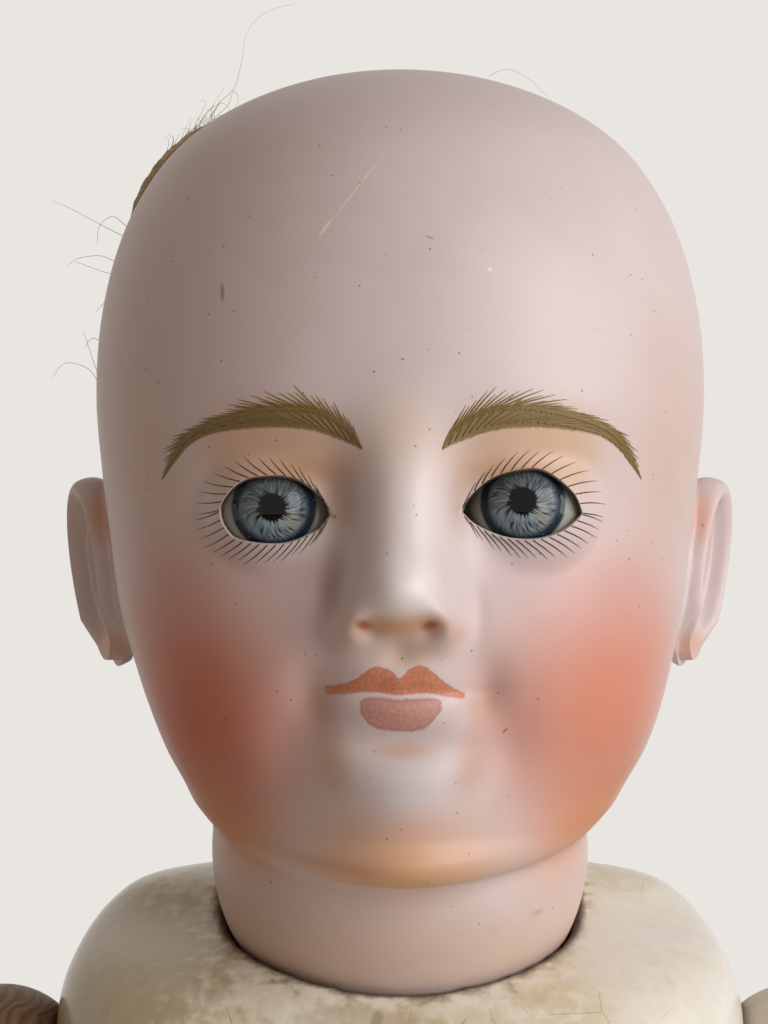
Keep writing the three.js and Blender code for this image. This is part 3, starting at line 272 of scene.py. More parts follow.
def mesh_piece(name, points_mm, faces, origin, edges=()):
    """An object at the world's origin from points in millimetres about an origin in metres."""
    mesh = bpy.data.meshes.new(name)
    placed = np.asarray(points_mm, float) * millimetre + np.array(origin)
    mesh.from_pydata(placed.tolist(), list(edges), faces)
    piece = bpy.data.objects.new(name, mesh)
    bpy.context.collection.objects.link(piece)
    return piece


def loft(name, rings, origin=(0, 0, 0)):
    """Skins equal rings, stacked the way round that looks counterclockwise, and closes both ends."""
    rings = np.asarray(rings, float)
    rows, sides = rings.shape[:2]
    points = np.vstack([rings.reshape(-1, 3), rings[0].mean(0), rings[-1].mean(0)])
    row, side = np.meshgrid(np.arange(rows - 1), np.arange(sides), indexing="ij")
    a = row * sides + side
    b = row * sides + (side + 1) % sides
    faces = np.stack([a, b, b + sides, a + sides], -1).reshape(-1, 4).tolist()
    first, last, top = rows * sides, rows * sides + 1, (rows - 1) * sides
    for s in range(sides):
        n = (s + 1) % sides
        faces += [[first, n, s], [last, top + s, top + n]]
    return mesh_piece(name, points, faces, origin)


def ball(name, radius, centre, origin=(0, 0, 0), sides=64, rows=40):
    """A ball as a loft from its lowest point to its highest."""
    angle = np.linspace(0, 2 * math.pi, sides, endpoint=False)
    rise = np.linspace(0, math.pi, rows + 1)[1:-1, None]
    rings = np.stack(
        [
            np.sin(rise) * np.sin(angle) * radius,
            -np.sin(rise) * np.cos(angle) * radius,
            -np.cos(rise) * radius * np.ones_like(angle),
        ],
        -1,
    )
    return loft(name, rings + np.array(centre), origin)


def rod(name, radius, start, end, origin=(0, 0, 0), sides=48):
    """A straight round bar."""
    start, end = np.array(start, float), np.array(end, float)
    along = (end - start) / np.linalg.norm(end - start)
    across = np.cross(along, (1, 0, 0) if abs(along[0]) < 0.8 else (0, 1, 0))
    across /= np.linalg.norm(across)
    over = np.cross(along, across)
    angle = np.linspace(0, 2 * math.pi, sides, endpoint=False)[:, None]
    ring = radius * (np.cos(angle) * across + np.sin(angle) * over)
    return loft(name, [start + ring, end + ring], origin)


def settle(piece, keep_materials=False):
    """Applies a piece's modifiers and leaves one plain mesh."""
    depsgraph = bpy.context.evaluated_depsgraph_get()
    made = bpy.data.meshes.new_from_object(piece.evaluated_get(depsgraph))
    if not keep_materials:
        made.materials.clear()
    old = piece.data
    piece.modifiers.clear()
    piece.data = made
    bpy.data.meshes.remove(old)
    piece.data.name = piece.name
    return piece


def joined(piece, others, operation="UNION"):
    """Joins other solids to a piece, or cuts them from it, and removes them."""
    for other in others:
        step = piece.modifiers.new("step", "BOOLEAN")
        step.operation = operation
        step.solver = "MANIFOLD"
        step.object = other
    settle(piece)
    for other in others:
        bpy.data.meshes.remove(other.data)
    return piece


def points_of(piece):
    """A piece's vertices as an array, in metres."""
    co = np.empty(len(piece.data.vertices) * 3)
    piece.data.vertices.foreach_get("co", co)
    return co.reshape(-1, 3)


def soften_seam(piece, near, passes):
    """Smooths the vertices that near marks, so that a join reads as a moulded fillet."""
    co = points_of(piece)
    edges = np.empty(len(piece.data.edges) * 2, int)
    piece.data.edges.foreach_get("vertices", edges)
    a, b = edges.reshape(-1, 2).T
    count = np.bincount(np.concatenate([a, b]), minlength=len(co))[:, None]
    for _ in range(passes):
        total = np.zeros_like(co)
        np.add.at(total, a, co[b])
        np.add.at(total, b, co[a])
        co += near[:, None] * 0.6 * (total / np.maximum(count, 1) - co)
    piece.data.vertices.foreach_set("co", co.ravel())
    piece.data.update()


def smooth_shading(piece, sharp_degrees=40):
    """Shades a piece smooth but for its real edges."""
    piece.data.polygons.foreach_set("use_smooth", [True] * len(piece.data.polygons))
    piece.data.set_sharp_from_angle(angle=math.radians(sharp_degrees))


def face_relief(x, z):
    """How far the face stands forward of the plain egg."""
    rise = np.zeros_like(x)
    for across, up, wide, high, height in face_forms:
        for side in (-1, 1) if across else (1,):
            middle = face_middle if up < mouth_zone_top else 0.0
            dx, dz = (x - middle - side * across) / wide, (z - up) / high
            rise += height * np.exp(-(dx**2 + dz**2) / 2)
    return rise


def egg_rings(t, sides, grown, with_face):
    """Rings of the head at places in the outline table, grown outwards by some amount."""
    up, across, back, deep, power = smooth_rows(head_shares, t).T[:, :, None]
    share = np.linspace(0, 1, sides, endpoint=False)[None, :]
    crowding = front_crowding_share if with_face else 0
    angle = 2 * math.pi * share - crowding * np.sin(2 * math.pi * share)
    half_width = across * head_half_width + grown * np.sqrt(np.minimum(1, across))
    half_depth = deep * head_half_depth + grown * np.sqrt(np.minimum(1, deep))
    x, y = superellipse(angle, half_width, half_depth, power)
    y = y + back * head_half_depth + head_set_back
    z = (up * head_height + grown * (up - 0.5) * 2) * np.ones_like(x)
    x = x + jaw_shift * np.exp(-((z / jaw_shift_height - 1) ** 2))
    if with_face:
        front = np.clip((-y / head_half_depth - face_start_share) / face_start_share, 0, 1)
        y = y - front**2 * (3 - 2 * front) * face_relief(x, z)
        away = np.hypot(np.abs(x) - eye_spacing / 2, z - eye_height)
        lid = np.where(
            away < lid_radius, eye_forward + np.sqrt(np.maximum(lid_radius**2 - away**2, 0)), 0
        )
        blended = lid_softness * np.logaddexp(-y / lid_softness, lid / lid_softness)
        y = np.where((lid > 0) & (y < 0), -blended, y)
    return np.stack([x, y, z], -1)


table_places = np.linspace(0, len(head_shares) - 1, 2000)
table_rows = smooth_rows(head_shares, table_places)
step_up = np.diff(table_rows[:, 0]) * head_height
step_out = np.diff(table_rows[:, 1]) * head_half_width
# twice as many rings lie over the face as over the crown
face_low_share, face_high_share = 0.03, 0.62
on_face = (table_rows[1:, 0] > face_low_share) & (table_rows[1:, 0] < face_high_share)
travel = np.concatenate([[0], np.cumsum(np.hypot(step_up, step_out) * np.where(on_face, 2.0, 1.0))])
head_rows, head_sides = 230, 250
ring_places = np.interp(np.linspace(0, travel[-1], head_rows), travel, table_places)
head = loft("bisque_head_shell", egg_rings(ring_places, head_sides, 0, True), neck_pivot)

ball_top_share = 0.26  # where the ball runs into the straight neck
neck_rows = np.linspace(-math.pi / 2, math.asin(ball_top_share), 40)[1:]
neck_profile = [(neck_ball_radius * math.cos(a), neck_ball_radius * math.sin(a)) for a in neck_rows]
neck_profile += [(neck_radius, z) for z in np.linspace(neck_profile[-1][1] + 0.6, neck_ball_radius, 14)]
neck_angle = np.linspace(0, 2 * math.pi, 160, endpoint=False)
neck_rings = [
    np.stack([r * np.sin(neck_angle), -r * np.cos(neck_angle), 0 * neck_angle + z], -1)
    for r, z in neck_profile
]
neck = loft("neck", neck_rings, neck_pivot)

# The ears are pressed in the same mould: a rolled rim, a groove inside it, a second fold and
# the bowl, over a full lobe. They lean off the head at the back and at the top.
ear_height = 29.0
ear_width = 15.5
ear_thickness = 3.4
ear_lean_out_degrees = 24
ear_lean_top_degrees = 9
ear_tip_degrees = 6
ear_place_shares = (0.99, 0.1, 0.353)
# From the ear's back to its bowl: share of the outline, rise as a share of the thickness
ear_shares = [
    (0.3, -0.95),
    (0.86, -0.9),
    (1.0, -0.2),
    (0.99, 0.65),
    (0.9, 1.0),
    (0.79, 0.8),
    (0.7, 0.25),
    (0.6, 0.2),
    (0.5, 0.45),
    (0.4, 0.3),
    (0.27, -0.35),
    (0.1, -0.6),
]


def ear_piece(side):
    """One ear as a closed leaf, sunk into the head along its front edge."""
    shares = smooth_rows(ear_shares, np.linspace(0, len(ear_shares) - 1, 54))
    angle = np.linspace(0, 2 * math.pi, 72, endpoint=False)
    narrowing = 1 - 0.1 * (1 - np.sin(angle))
    share, rise = shares[:, :1], shares[:, 1:]
    lobe = np.clip((-np.sin(angle) * share - 0.45) / 0.3, 0, 1)
    rise = np.where(rise > -0.1, rise * (1 - lobe) + 0.55 * lobe * (share < 0.93), rise)
    across = np.cos(angle) * narrowing * share * ear_width / 2
    up = np.sin(angle) * share * ear_height / 2
    points = np.stack([rise * ear_thickness * np.ones_like(across), across, up], -1)
    out, top, tip = (
        math.radians(d)
        for d in (-ear_lean_out_degrees, ear_lean_top_degrees, -ear_tip_degrees)
    )
    turn_z = np.array([[math.cos(out), -math.sin(out), 0], [math.sin(out), math.cos(out), 0], [0, 0, 1]])
    turn_y = np.array([[math.cos(top), 0, math.sin(top)], [0, 1, 0], [-math.sin(top), 0, math.cos(top)]])
    turn_x = np.array([[1, 0, 0], [0, math.cos(tip), -math.sin(tip)], [0, math.sin(tip), math.cos(tip)]])
    points = points @ (turn_x @ turn_y @ turn_z).T
    place = np.array(ear_place_shares) * (head_half_width, head_half_depth, head_height)
    points = (points + place) * (side, 1, 1)
    return loft("ear", points if side > 0 else points[::-1], neck_pivot)


def copied(piece, name):
    """A second object with its own copy of a mesh."""
    other = piece.copy()
    other.data = piece.data.copy()
    other.name = other.data.name = name
    bpy.context.collection.objects.link(other)
    return other


def nearness(piece, surface, reach_mm):
    """How near each vertex of a piece lies to another surface: 1 on it and 0 at the reach."""
    tree = BVHTree.FromObject(surface, bpy.context.evaluated_depsgraph_get())
    found = [tree.find_nearest(Vector(p), reach_mm * millimetre)[3] for p in points_of(piece)]
    away = np.array([reach_mm * millimetre if d is None else d for d in found])
    return 1 - away / (reach_mm * millimetre)


def blended_union(piece, other, reach_mm, passes):
    """Joins a solid to a piece and rounds the corner between them."""
    first, second = copied(piece, "first"), copied(other, "second")
    joined(piece, [other])
    near = np.minimum(nearness(piece, first, reach_mm), nearness(piece, second, reach_mm))
    soften_seam(piece, np.clip(near * 1.6, 0, 1), passes)
    for uncut in (first, second):
        bpy.data.meshes.remove(uncut.data)
    return piece


blended_union(head, neck, 2.0, 20)
for side in (-1, 1):
    blended_union(head, ear_piece(side), 1.3, 14)

# Each opening is measured from its eye's middle, outward and up, from the inner corner over
# the upper lid to the outer corner and back along the lower lid.
right_upper_lid = [
    (-6.95, -1.05), (-6.25, 0.45), (-5.39, 1.6), (-4.15, 2.6), (-2.9, 3.35), (-1.29, 3.78), (0.33, 3.9),
    (2.86, 3.72), (4.39, 3.22), (5.66, 2.34), (6.98, 0.72), (7.45, -0.5)
]
right_lower_lid = [
    (7.45, -0.5), (7.33, -1.4), (6.87, -2.56), (5.71, -3.9), (4.15, -4.44), (1.86, -4.74), (-0.64, -4.74),
    (-2.52, -4.3), (-4.14, -3.55), (-5.62, -2.8), (-6.95, -1.05)
]
left_upper_lid = [
    (-8.6, -0.75), (-8.02, 0.7), (-6.56, 2.27), (-4.78, 3.6), (-2.56, 4.4), (0.28, 4.84), (1.94, 4.6),
    (3.45, 3.8), (4.98, 2.6), (6.23, 1.22), (7.12, -0.85)
]
left_lower_lid = [
    (7.12, -0.85), (6.39, -1.65), (4.82, -2.85), (3.13, -3.6), (1.17, -4.1), (-1.08, -4.16),
    (-3.32, -3.83), (-5.53, -3.0), (-7.29, -2.03), (-8.6, -0.75)
]
# The rim is rounded: depth behind the face's surface, and how much wider the cut is there
rim_steps = [(3.4, -0.15), (1.0, 0.0), (0.45, 0.04), (0.2, 0.14), (0.05, 0.32), (-0.1, 0.6), (-3.0, 1.0)]


def lid_outline(upper, lower, count=64):
    """The opening's outline as points outward and up from the eye's middle."""
    over = smooth_rows(upper, np.linspace(0, len(upper) - 1, count, endpoint=False))
    under = smooth_rows(lower, np.linspace(0, len(lower) - 1, count, endpoint=False))
    return np.vstack([over, under])


def surface_depth(tree, x, z):
    """How far back a surface lies, seen from the front at a place in the head's millimetres."""
    start = Vector((x * millimetre, -1.0, z * millimetre)) + Vector(neck_pivot)
    hit = tree.ray_cast(start, Vector((0, 1, 0)))[0]
    return (hit.y - neck_pivot[1]) / millimetre


eye_places = {side: np.array((side * eye_spacing / 2, -eye_forward, eye_height)) for side in (-1, 1)}
openings = {
    -1: lid_outline(right_upper_lid, right_lower_lid), 1: lid_outline(left_upper_lid, left_lower_lid)
}
face_tree = BVHTree.FromObject(head, bpy.context.evaluated_depsgraph_get())
cutters = []
for side in (-1, 1):
    outline = openings[side]
    spoke = outline - outline.mean(0)
    spoke /= np.linalg.norm(spoke, axis=1)[:, None]
    x0, z0 = (outline * (side, 1) + eye_places[side][[0, 2]]).T
    depth = np.array([surface_depth(face_tree, x, z) for x, z in zip(x0, z0)])
    rings = []
    for behind, wider in rim_steps:
        x, z = ((outline + spoke * wider) * (side, 1) + eye_places[side][[0, 2]]).T
        rings.append(np.stack([x, depth + behind, z], -1))
    cutters.append(loft("eye_cut", rings[::-1] if side > 0 else rings, neck_pivot))
    cutters.append(ball("eye_socket", eye_radius + eye_gap, eye_places[side], neck_pivot))
hollow_places = np.linspace(0, len(head_shares) - 1, 60)
cutters.append(loft("hollow", egg_rings(hollow_places, 64, -bisque_wall, False), neck_pivot))
cutters.append(ball("bowl", neck_ball_radius - bisque_wall, (0, 0, 0), neck_pivot))
cutters.append(rod("throat", neck_radius - bisque_wall, (0, 0, 0), (0, 0, neck_ball_radius), neck_pivot))
cutters.append(
    rod("mouth_of_neck", neck_hole_radius, (0, 0, -2 * neck_ball_radius), (0, 0, 0), neck_pivot)
)
stringing_hole_radius = 1.6
stringing_hole_spacing = 11.0
for x, y in ((0, 1), (-1, 2), (1, 2)):
    place = np.array((x, y, 0)) * stringing_hole_spacing
    top = place + (0, 0, head_height + bisque_wall)
    cutters.append(
        rod("stringing_hole", stringing_hole_radius, top - (0, 0, 5 * bisque_wall), top, neck_pivot, 24)
    )
joined(head, cutters, "DIFFERENCE")
smooth_shading(head, 45)

# Paint on the bisque: china paint, wiped and dabbed on by hand and fired in at a low heat. It
# lies in the porcelain's matt, fine grained surface, with no edge that a finger could feel.
# Some spots below are painted shade in the face's hollows and painted highlights on its high
# places, as the light would give them.
bisque_colour = "#DACBCB"
# Place, reach and tilt in mm and degrees from the neck's middle, colour, strength, how much of
# the reach is fully painted, and whether both sides have it
paint_spots = [
    ((0, -10, 112), (60, 70, 22), 0, "#CFBFC0", 0.55, 0.1, False),  # crown, a cooler lilac
    ((34, -16, 60), (15, 34, 32), 0, "#CDAB98", 0.75, 0.0, True),  # temples
    ((17.5, -44, 58.0), (17, 14, 10), 0, "#D9AC7C", 0.62, 0.25, True),  # peach over the lids
    ((14, -44, 55.6), (9.5, 14, 3.0), 0, "#C08F68", 0.5, 0.0, True),  # shadow in the lid's fold
    ((8.2, -45, 52), (4.2, 10, 8.0), 0, "#A98266", 0.5, 0.0, True),  # painted shade beside the nose's root
    ((16.5, -42, 42), (13, 14, 5.5), 0, "#D3BBC2", 0.5, 0.0, True),  # lilac under the eyes
    ((0, -45, 1), (36, 26, 15), 0, "#D8A376", 0.9, 0.1, False),  # warm edge of the jaw
    ((29, -25, 7), (21, 29, 20), 0, "#D8955F", 1.0, 0.0, True),
    ((26, -27, 27), (31, 33, 34), 0, "#D29C90", 0.9, 0.0, True),  # rose wash over the cheeks
    ((24.5, -27, 25), (26, 36, 26), 0, "#DA8769", 0.85, 0.0, False),  # blush on the left
    ((-27, -26, 24), (26, 34, 26), 0, "#CB6F50", 0.88, 0.0, False),  # and on the right, darker and redder there as painted shade
    # the blush again higher on each cheek, the right one darker as painted shade
    ((-30, -28, 40), (15, 16, 12), 0, "#C98F85", 0.5, 0.0, False),
    ((27, -32, 39), (13, 16, 10), 0, "#D6A29A", 0.45, 0.0, False),
    ((0, -42, 14.4), (8.5, 9, 6.0), 0, "#D3CBD0", 0.75, 0.1, False),  # painted highlight on the chin
    ((0, -42, 19.0), (6.5, 8, 1.9), 0, "#C79F74", 0.6, 0.0, False),  # painted shade in the hollow under the lower lip
    ((10.8, -41, 24.5), (3.2, 8, 4.6), 12, "#B98C6B", 0.5, 0.0, True),  # painted shade at the corners of the mouth
    ((0, -44, 32.2), (10, 9, 4.2), 0, "#D6B897", 0.6, 0.0, False),  # over the upper lip
    ((0, -46, 60), (8, 12, 10), 0, "#E4D0B4", 0.55, 0.0, False),  # between the brows
    ((-0.5, -48, 36.0), (11.5, 8, 3.6), 0, "#D3A06C", 0.85, 0.0, False),  # warm painted shade under the nose
    ((-0.2, -49, 50.0), (8.5, 9, 13.0), 0, "#EDE4E2", 0.8, 0.0, False),  # painted highlight down its bridge
    ((-0.5, -52, 41.6), (8.5, 8, 7.0), 0, "#F0EAEA", 0.9, 0.1, False),  # and painted highlight on its tip
    ((-8.9, -43, 41.5), (3.2, 8, 8.5), 6, "#8F6A54", 0.6, 0.0, False),  # its shaded side
    ((9.6, -41, 17.5), (4.6, 9, 8.5), 18, "#BC8F6E", 0.5, 0.0, True),  # painted shade in the folds beside the chin
    ((6.4, -44, 34.6), (3.2, 6, 2.4), 0, "#D79E6E", 0.75, 0.0, True),  # warm wings
    ((-5.0, -48.5, 35.8), (2.1, 4, 1.3), 24, "#A8532E", 0.9, 0.0, False),  # nostril dots
    ((3.6, -48.5, 35.8), (2.1, 4, 1.3), -24, "#A8532E", 0.9, 0.0, False),
    ((8.9, -44, 49.7), (0.55, 3, 0.42), 0, "#B0503A", 0.8, 0.2, True),  # dots in the eyes' corners
    ((45, 3, 49), (4.5, 12, 7.5), 0, "#D98F63", 0.6, 0.0, True),  # ears
    ((43.5, 4, 30.5), (5, 10, 4.5), 0, "#DE9A6C", 0.6, 0.0, True),
    ((0, 0, -11), (48, 48, 15), 0, "#D3AE88", 0.85, 0.1, False),  # the neck under the jaw
    ((13.3, -30, -8), (3.4, 9, 1.1), -22, "#8E6540", 0.55, 0.1, False),  # stains on the neck
    ((19.5, -24, -6.4), (2.0, 9, 0.9), -12, "#8E6540", 0.5, 0.1, False),
    ((-5.6, -43.5, 93.1), (8.8, 9, 0.16), -54, "#EFE9E2", 0.75, 0.3, False),  # a long scratch
    ((-10.0, -45, 87.3), (2.0, 9, 0.34), -54, "#F2EEE8", 0.8, 0.3, False),
    ((-23.7, -41, 79.2), (0.42, 9, 1.9), -3, "#A9754A", 0.8, 0.2, False),  # a brown rub mark
    ((3.5, -46.4, 85.8), (1.0, 9, 0.2), 20, "#8F7A70", 0.7, 0.2, False),
    ((11.3, -46.2, 81.7), (0.55, 9, 0.4), 30, "#F0ECEA", 0.8, 0.2, False),
    ((13.7, -37.6, 21.2), (0.8, 9, 0.22), -40, "#8C3D28", 0.8, 0.2, False),
    ((-33.5, 6, 100), (9, 17, 11), 0, "#C9B08A", 0.6, 0.1, False),  # old glue round the wig's edge
]
# Outlines that the brush leaves, across and up: upper and lower edge, wash and rim colour
upper_lip_top = [
    (-10.2, 27.3), (-7.8, 27.9), (-6.1, 28.55), (-4.8, 29.55), (-3.4, 30.2), (-2.1, 29.97), (-0.9, 29.2),
    (-0.4, 28.75), (0.2, 29.2), (1.5, 30.2), (2.5, 30.38), (3.6, 29.8), (4.9, 28.7), (6.3, 27.6),
    (8.3, 26.5)
]
upper_lip_bottom = [
    (-10.2, 26.1), (-7.5, 26.4), (-4.4, 26.75), (-2.4, 26.6), (-0.4, 26.35), (1.6, 26.5), (3.6, 26.55),
    (5.2, 26.2), (8.3, 25.7)
]
lower_lip_top = [
    (-5.6, 25.5), (-4.9, 26.0), (-3.3, 26.2), (-0.4, 25.95), (2.6, 26.05), (4.5, 25.95), (5.2, 25.4)
]
lower_lip_bottom = [
    (-5.6, 24.5), (-4.9, 23.1), (-3.4, 21.95), (-1.4, 21.6), (0.9, 21.5), (2.6, 21.8), (3.9, 22.8),
    (4.8, 23.9), (5.2, 24.4)
]
brow_top = [
    (5.2, 58.7), (5.9, 60.2), (7.2, 62.0), (9.3, 63.9), (11.6, 64.9), (15.1, 65.2), (18.6, 64.7),
    (22.7, 63.7), (26.9, 62.1), (29.2, 60.2), (30.8, 57.9), (31.9, 56.0)
]
brow_feather = 1.0  # the wash stops this far under the strokes' tips
brow_bottom = [
    (5.2, 58.3), (6.4, 58.85), (9.0, 59.9), (11.6, 60.7), (16.3, 61.2), (20.9, 61.05), (25.7, 60.4),
    (28.6, 58.9), (30.4, 57.1), (31.9, 55.6)
]
brushed = [
    (upper_lip_top, upper_lip_bottom, "#DB8B62", "#A4553A", 0.3, 0.94, False),
    (lower_lip_top, lower_lip_bottom, "#CE9388", "#A86553", 0.5, 0.88, False),
    (
        [(x, z - brow_feather * min(1, (x - 5.2) / 2, (31.9 - x) / 6)) for x, z in brow_top], brow_bottom,
        "#7D6736", "#6E582B", 0.5, 0.88, True
    ),
]


def bend_curve(node, points):
    """Gives a curve node its points."""
    line = node.mapping.curves[0]
    for _ in points[2:]:
        line.points.new(0.5, 0.5)
    for point, place in zip(line.points, points):
        point.location = place
    node.mapping.update()


bisque, tree = new_material("unglazed bisque porcelain with fired china paint")
place = add(tree, "TexCoord").outputs["Object"]
centre_mm = (-neck_pivot / millimetre).tolist()
here = add(tree, "Mapping", {"Vector": place, "Location": centre_mm, "Scale": (1 / millimetre,) * 3})
apart = add(tree, "SeparateXYZ", [here]).outputs
mirrored_x = add(tree, "Math", [apart["X"]], operation="ABSOLUTE")
both = add(tree, "CombineXYZ", {"X": mirrored_x, "Y": apart["Y"], "Z": apart["Z"]})
# the sponge leaves the colour uneven over about a millimetre, and the grain is finer still
sponge = add(tree, "TexNoise", {"Vector": here, "Scale": 0.09, "Detail": 5.0, "Roughness": 0.6})
stipple = add(tree, "TexNoise", {"Vector": here, "Scale": 2.4, "Detail": 2.0})
colour = add(tree, "Mix", {0: sponge, "A": linear("#D1BFBE"), "B": linear("#E3D6D6")}, data_type="RGBA")
colour = add(tree, "Mix", {0: 0.6, "A": linear(bisque_colour), "B": colour}, data_type="RGBA")
for where, reach, tilt, paint, strength, full, on_both in paint_spots:
    turned = {
        "Vector": both if on_both else here, "Location": where, "Rotation": (0, math.radians(tilt), 0),
        "Scale": reach
    }
    spot = add(tree, "Mapping", turned, vector_type="TEXTURE")
    away = add(tree, "VectorMath", [spot], operation="LENGTH")
    fade = {"Value": away, "From Min": full, "From Max": 1.0, "To Min": strength, "To Max": 0.0}
    amount = add(tree, "MapRange", fade, interpolation_type="SMOOTHERSTEP")
    colour = add(tree, "Mix", {0: amount, "A": colour, "B": linear(paint)}, data_type="RGBA")
for upper, lower, wash, rim, rim_width, strength, on_both in brushed:
    across = mirrored_x if on_both else apart["X"]
    start, end = upper[0][0], upper[-1][0]
    bottom, height = min(z for _, z in lower), max(z for _, z in upper) - min(z for _, z in lower)
    share = add(tree, "MapRange", {"Value": across, "From Min": start, "From Max": end})
    inside = []
    for edge, sign in ((upper, 1), (lower, -1)):
        curve = add(tree, "FloatCurve", {"Value": share})
        bend_curve(curve, [((x - start) / (end - start), (z - bottom) / height) for x, z in edge])
        level = add(tree, "Math", [curve, height, bottom], operation="MULTIPLY_ADD")
        ends = (level, apart["Z"]) if sign > 0 else (apart["Z"], level)
        inside.append(add(tree, "Math", [ends[0], ends[1]], operation="SUBTRACT"))
    inside.append(add(tree, "Math", [across, start], operation="SUBTRACT"))
    inside.append(add(tree, "Math", [end, across], operation="SUBTRACT"))
    depth = inside[0]
    for other in inside[1:]:
        depth = add(tree, "Math", [depth, other], operation="MINIMUM")
    depth = add(tree, "Math", [stipple, 0.5, depth], operation="MULTIPLY_ADD")
    front = add(tree, "Math", [apart["Y"], -20.0], operation="LESS_THAN")
    edge_fade = {"Value": depth, "From Min": 0.1, "From Max": 0.55, "To Max": strength}
    covered = add(tree, "MapRange", edge_fade, interpolation_type="SMOOTHSTEP")
    covered = add(tree, "Math", [covered, front], operation="MULTIPLY")
    near_rim = {
        "Value": depth, "From Min": 0.25, "From Max": 0.25 + 2 * rim_width, "To Min": 0.85, "To Max": 0.0
    }
    rim_amount = add(tree, "MapRange", near_rim, interpolation_type="SMOOTHSTEP")
    dabbed = add(
        tree, "MapRange",
        {"Value": stipple, "From Min": 0.35, "From Max": 0.7, "To Min": 0.55, "To Max": 0.0}
    )
    rim_amount = add(tree, "Math", [rim_amount, dabbed], operation="MAXIMUM")
    painted = add(tree, "Mix", {0: rim_amount, "A": linear(wash), "B": linear(rim)}, data_type="RGBA")
    colour = add(tree, "Mix", {0: covered, "A": colour, "B": painted}, data_type="RGBA")
# black specks of iron in the clay, one here and there, under a quarter of a millimetre across
clay_specks = add(tree, "TexVoronoi", {"Vector": here, "Scale": 0.55, "Randomness": 1.0})
speck_size = add(tree, "SeparateColor", [clay_specks.outputs["Color"]]).outputs["Red"]
speck_reach = add(
    tree, "MapRange", {"Value": speck_size, "From Min": 0.45, "From Max": 1.0, "To Max": 0.1}
)
speck = add(tree, "Math", [clay_specks.outputs["Distance"], speck_reach], operation="LESS_THAN")
speck = add(tree, "Math", [speck, 0.6], operation="MULTIPLY")
colour = add(tree, "Mix", {0: speck, "A": colour, "B": linear("#4A3A33")}, data_type="RGBA")
gloss = add(tree, "MapRange", {"Value": sponge, "To Min": 0.4, "To Max": 0.5})
grain = add(tree, "TexNoise", {"Vector": here, "Scale": 3.2, "Detail": 3.0})
relief = add(tree, "Bump", {"Strength": 0.12, "Distance": 0.00006, "Height": grain})
shader = add(
    tree, "BsdfPrincipled", {"Base Color": colour, "Roughness": gloss, "Normal": relief, "IOR": 1.5}
)
add(tree, "OutputMaterial", {"Surface": shader})
head.data.materials.append(bisque)
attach(head, "head")
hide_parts("bisque_head")

# The eyes: hollow balls of white glass blown at a lamp. Grey and blue glass threads are spun
# round a black pupil and a clear dome is melted over them, then plaster holds the ball from
# inside. Each eye is set turned a little, so both look slightly to the doll's right.
cornea_radius = 6.4
cornea_rise = 0.9
glass_clearance = 0.05
pupil_radius = 1.8
iris_radius = 5.5
iris_shift = {-1: (-0.5, -0.05), 1: (-0.78, 0.73)}
dome_blend = 0.12
uv_field_mm = 24.0


def turned_ring(profile, sides):
    """Rings about the z axis from pairs of radius and height."""
    angle = np.linspace(0, 2 * math.pi, sides, endpoint=False)
    return np.array(
        [np.stack([r * np.sin(angle), -r * np.cos(angle), 0 * angle + z], -1) for r, z in profile]
    )


def keep_uv(piece, values):
    """Stores a pair of numbers for each vertex as the piece's UV map."""
    layer = piece.data.uv_layers.new(name="field")
    corner = np.empty(len(piece.data.loops), int)
    piece.data.loops.foreach_get("vertex_index", corner)
    layer.data.foreach_set("uv", np.asarray(values)[corner].ravel())


glass, tree = new_material("blown glass with spun grey blue threads")
field = add(tree, "TexCoord").outputs["UV"]
on_iris = {
    "Vector": field, "Location": (-uv_field_mm / 2, -uv_field_mm / 2, 0), "Scale": (uv_field_mm,) * 3
}
spot = add(tree, "Mapping", on_iris)
flat = add(tree, "SeparateXYZ", [spot]).outputs
radius = add(tree, "VectorMath", [spot], operation="LENGTH")
turn = add(tree, "Math", [flat["Y"], flat["X"]], operation="ARCTAN2")
# the threads drift round a little as they run out, as the turned rod left them
drift = add(tree, "Math", [radius, -0.09, turn], operation="MULTIPLY_ADD")
drift_cos = add(tree, "Math", [drift], operation="COSINE")
drift_sin = add(tree, "Math", [drift], operation="SINE")
outwards = add(tree, "Math", [radius, 0.055], operation="MULTIPLY")
fan = add(tree, "CombineXYZ", {"X": drift_cos, "Y": drift_sin, "Z": outwards})
threads = add(tree, "TexNoise", {"Vector": fan, "Scale": 13.0, "Detail": 3.0, "Distortion": 0.2})
bands = add(tree, "MapRange", {"Value": threads, "From Min": 0.36, "From Max": 0.64})
colour = add(tree, "Mix", {0: bands, "A": linear("#2C3A43"), "B": linear("#93A6B0")}, data_type="RGBA")
# greyer and darker under the upper lid, partly the glass's own tint and partly painted shade of the lid;
# bluer and paler below
high = add(tree, "MapRange", {"Value": flat["Y"], "From Min": -1.5, "From Max": 3.6, "To Max": 0.72})
colour = add(tree, "Mix", {0: high, "A": colour, "B": linear("#3D4443")}, data_type="RGBA")
glass_spots = [
    ((-2.2, -2.4), (3.4, 2.2), "#86A0B4", 0.45),  # pale blue low on the iris
    ((2.7, -1.9), (1.7, 2.0), "#A9A27C", 0.7),  # straw coloured threads
]
for where, reach, tint, strength in glass_spots:
    patch = {"Vector": spot, "Location": (*where, 0), "Scale": (*reach, 1)}
    away = add(tree, "Mapping", patch, vector_type="TEXTURE")
    away = add(tree, "VectorMath", [away], operation="LENGTH")
    fade = {"Value": away, "From Min": 0.2, "From Max": 1.0, "To Min": strength, "To Max": 0.0}
    amount = add(tree, "MapRange", fade, interpolation_type="SMOOTHSTEP")
    amount = add(tree, "Math", [amount, bands], operation="MULTIPLY")
    colour = add(tree, "Mix", {0: amount, "A": colour, "B": linear(tint)}, data_type="RGBA")
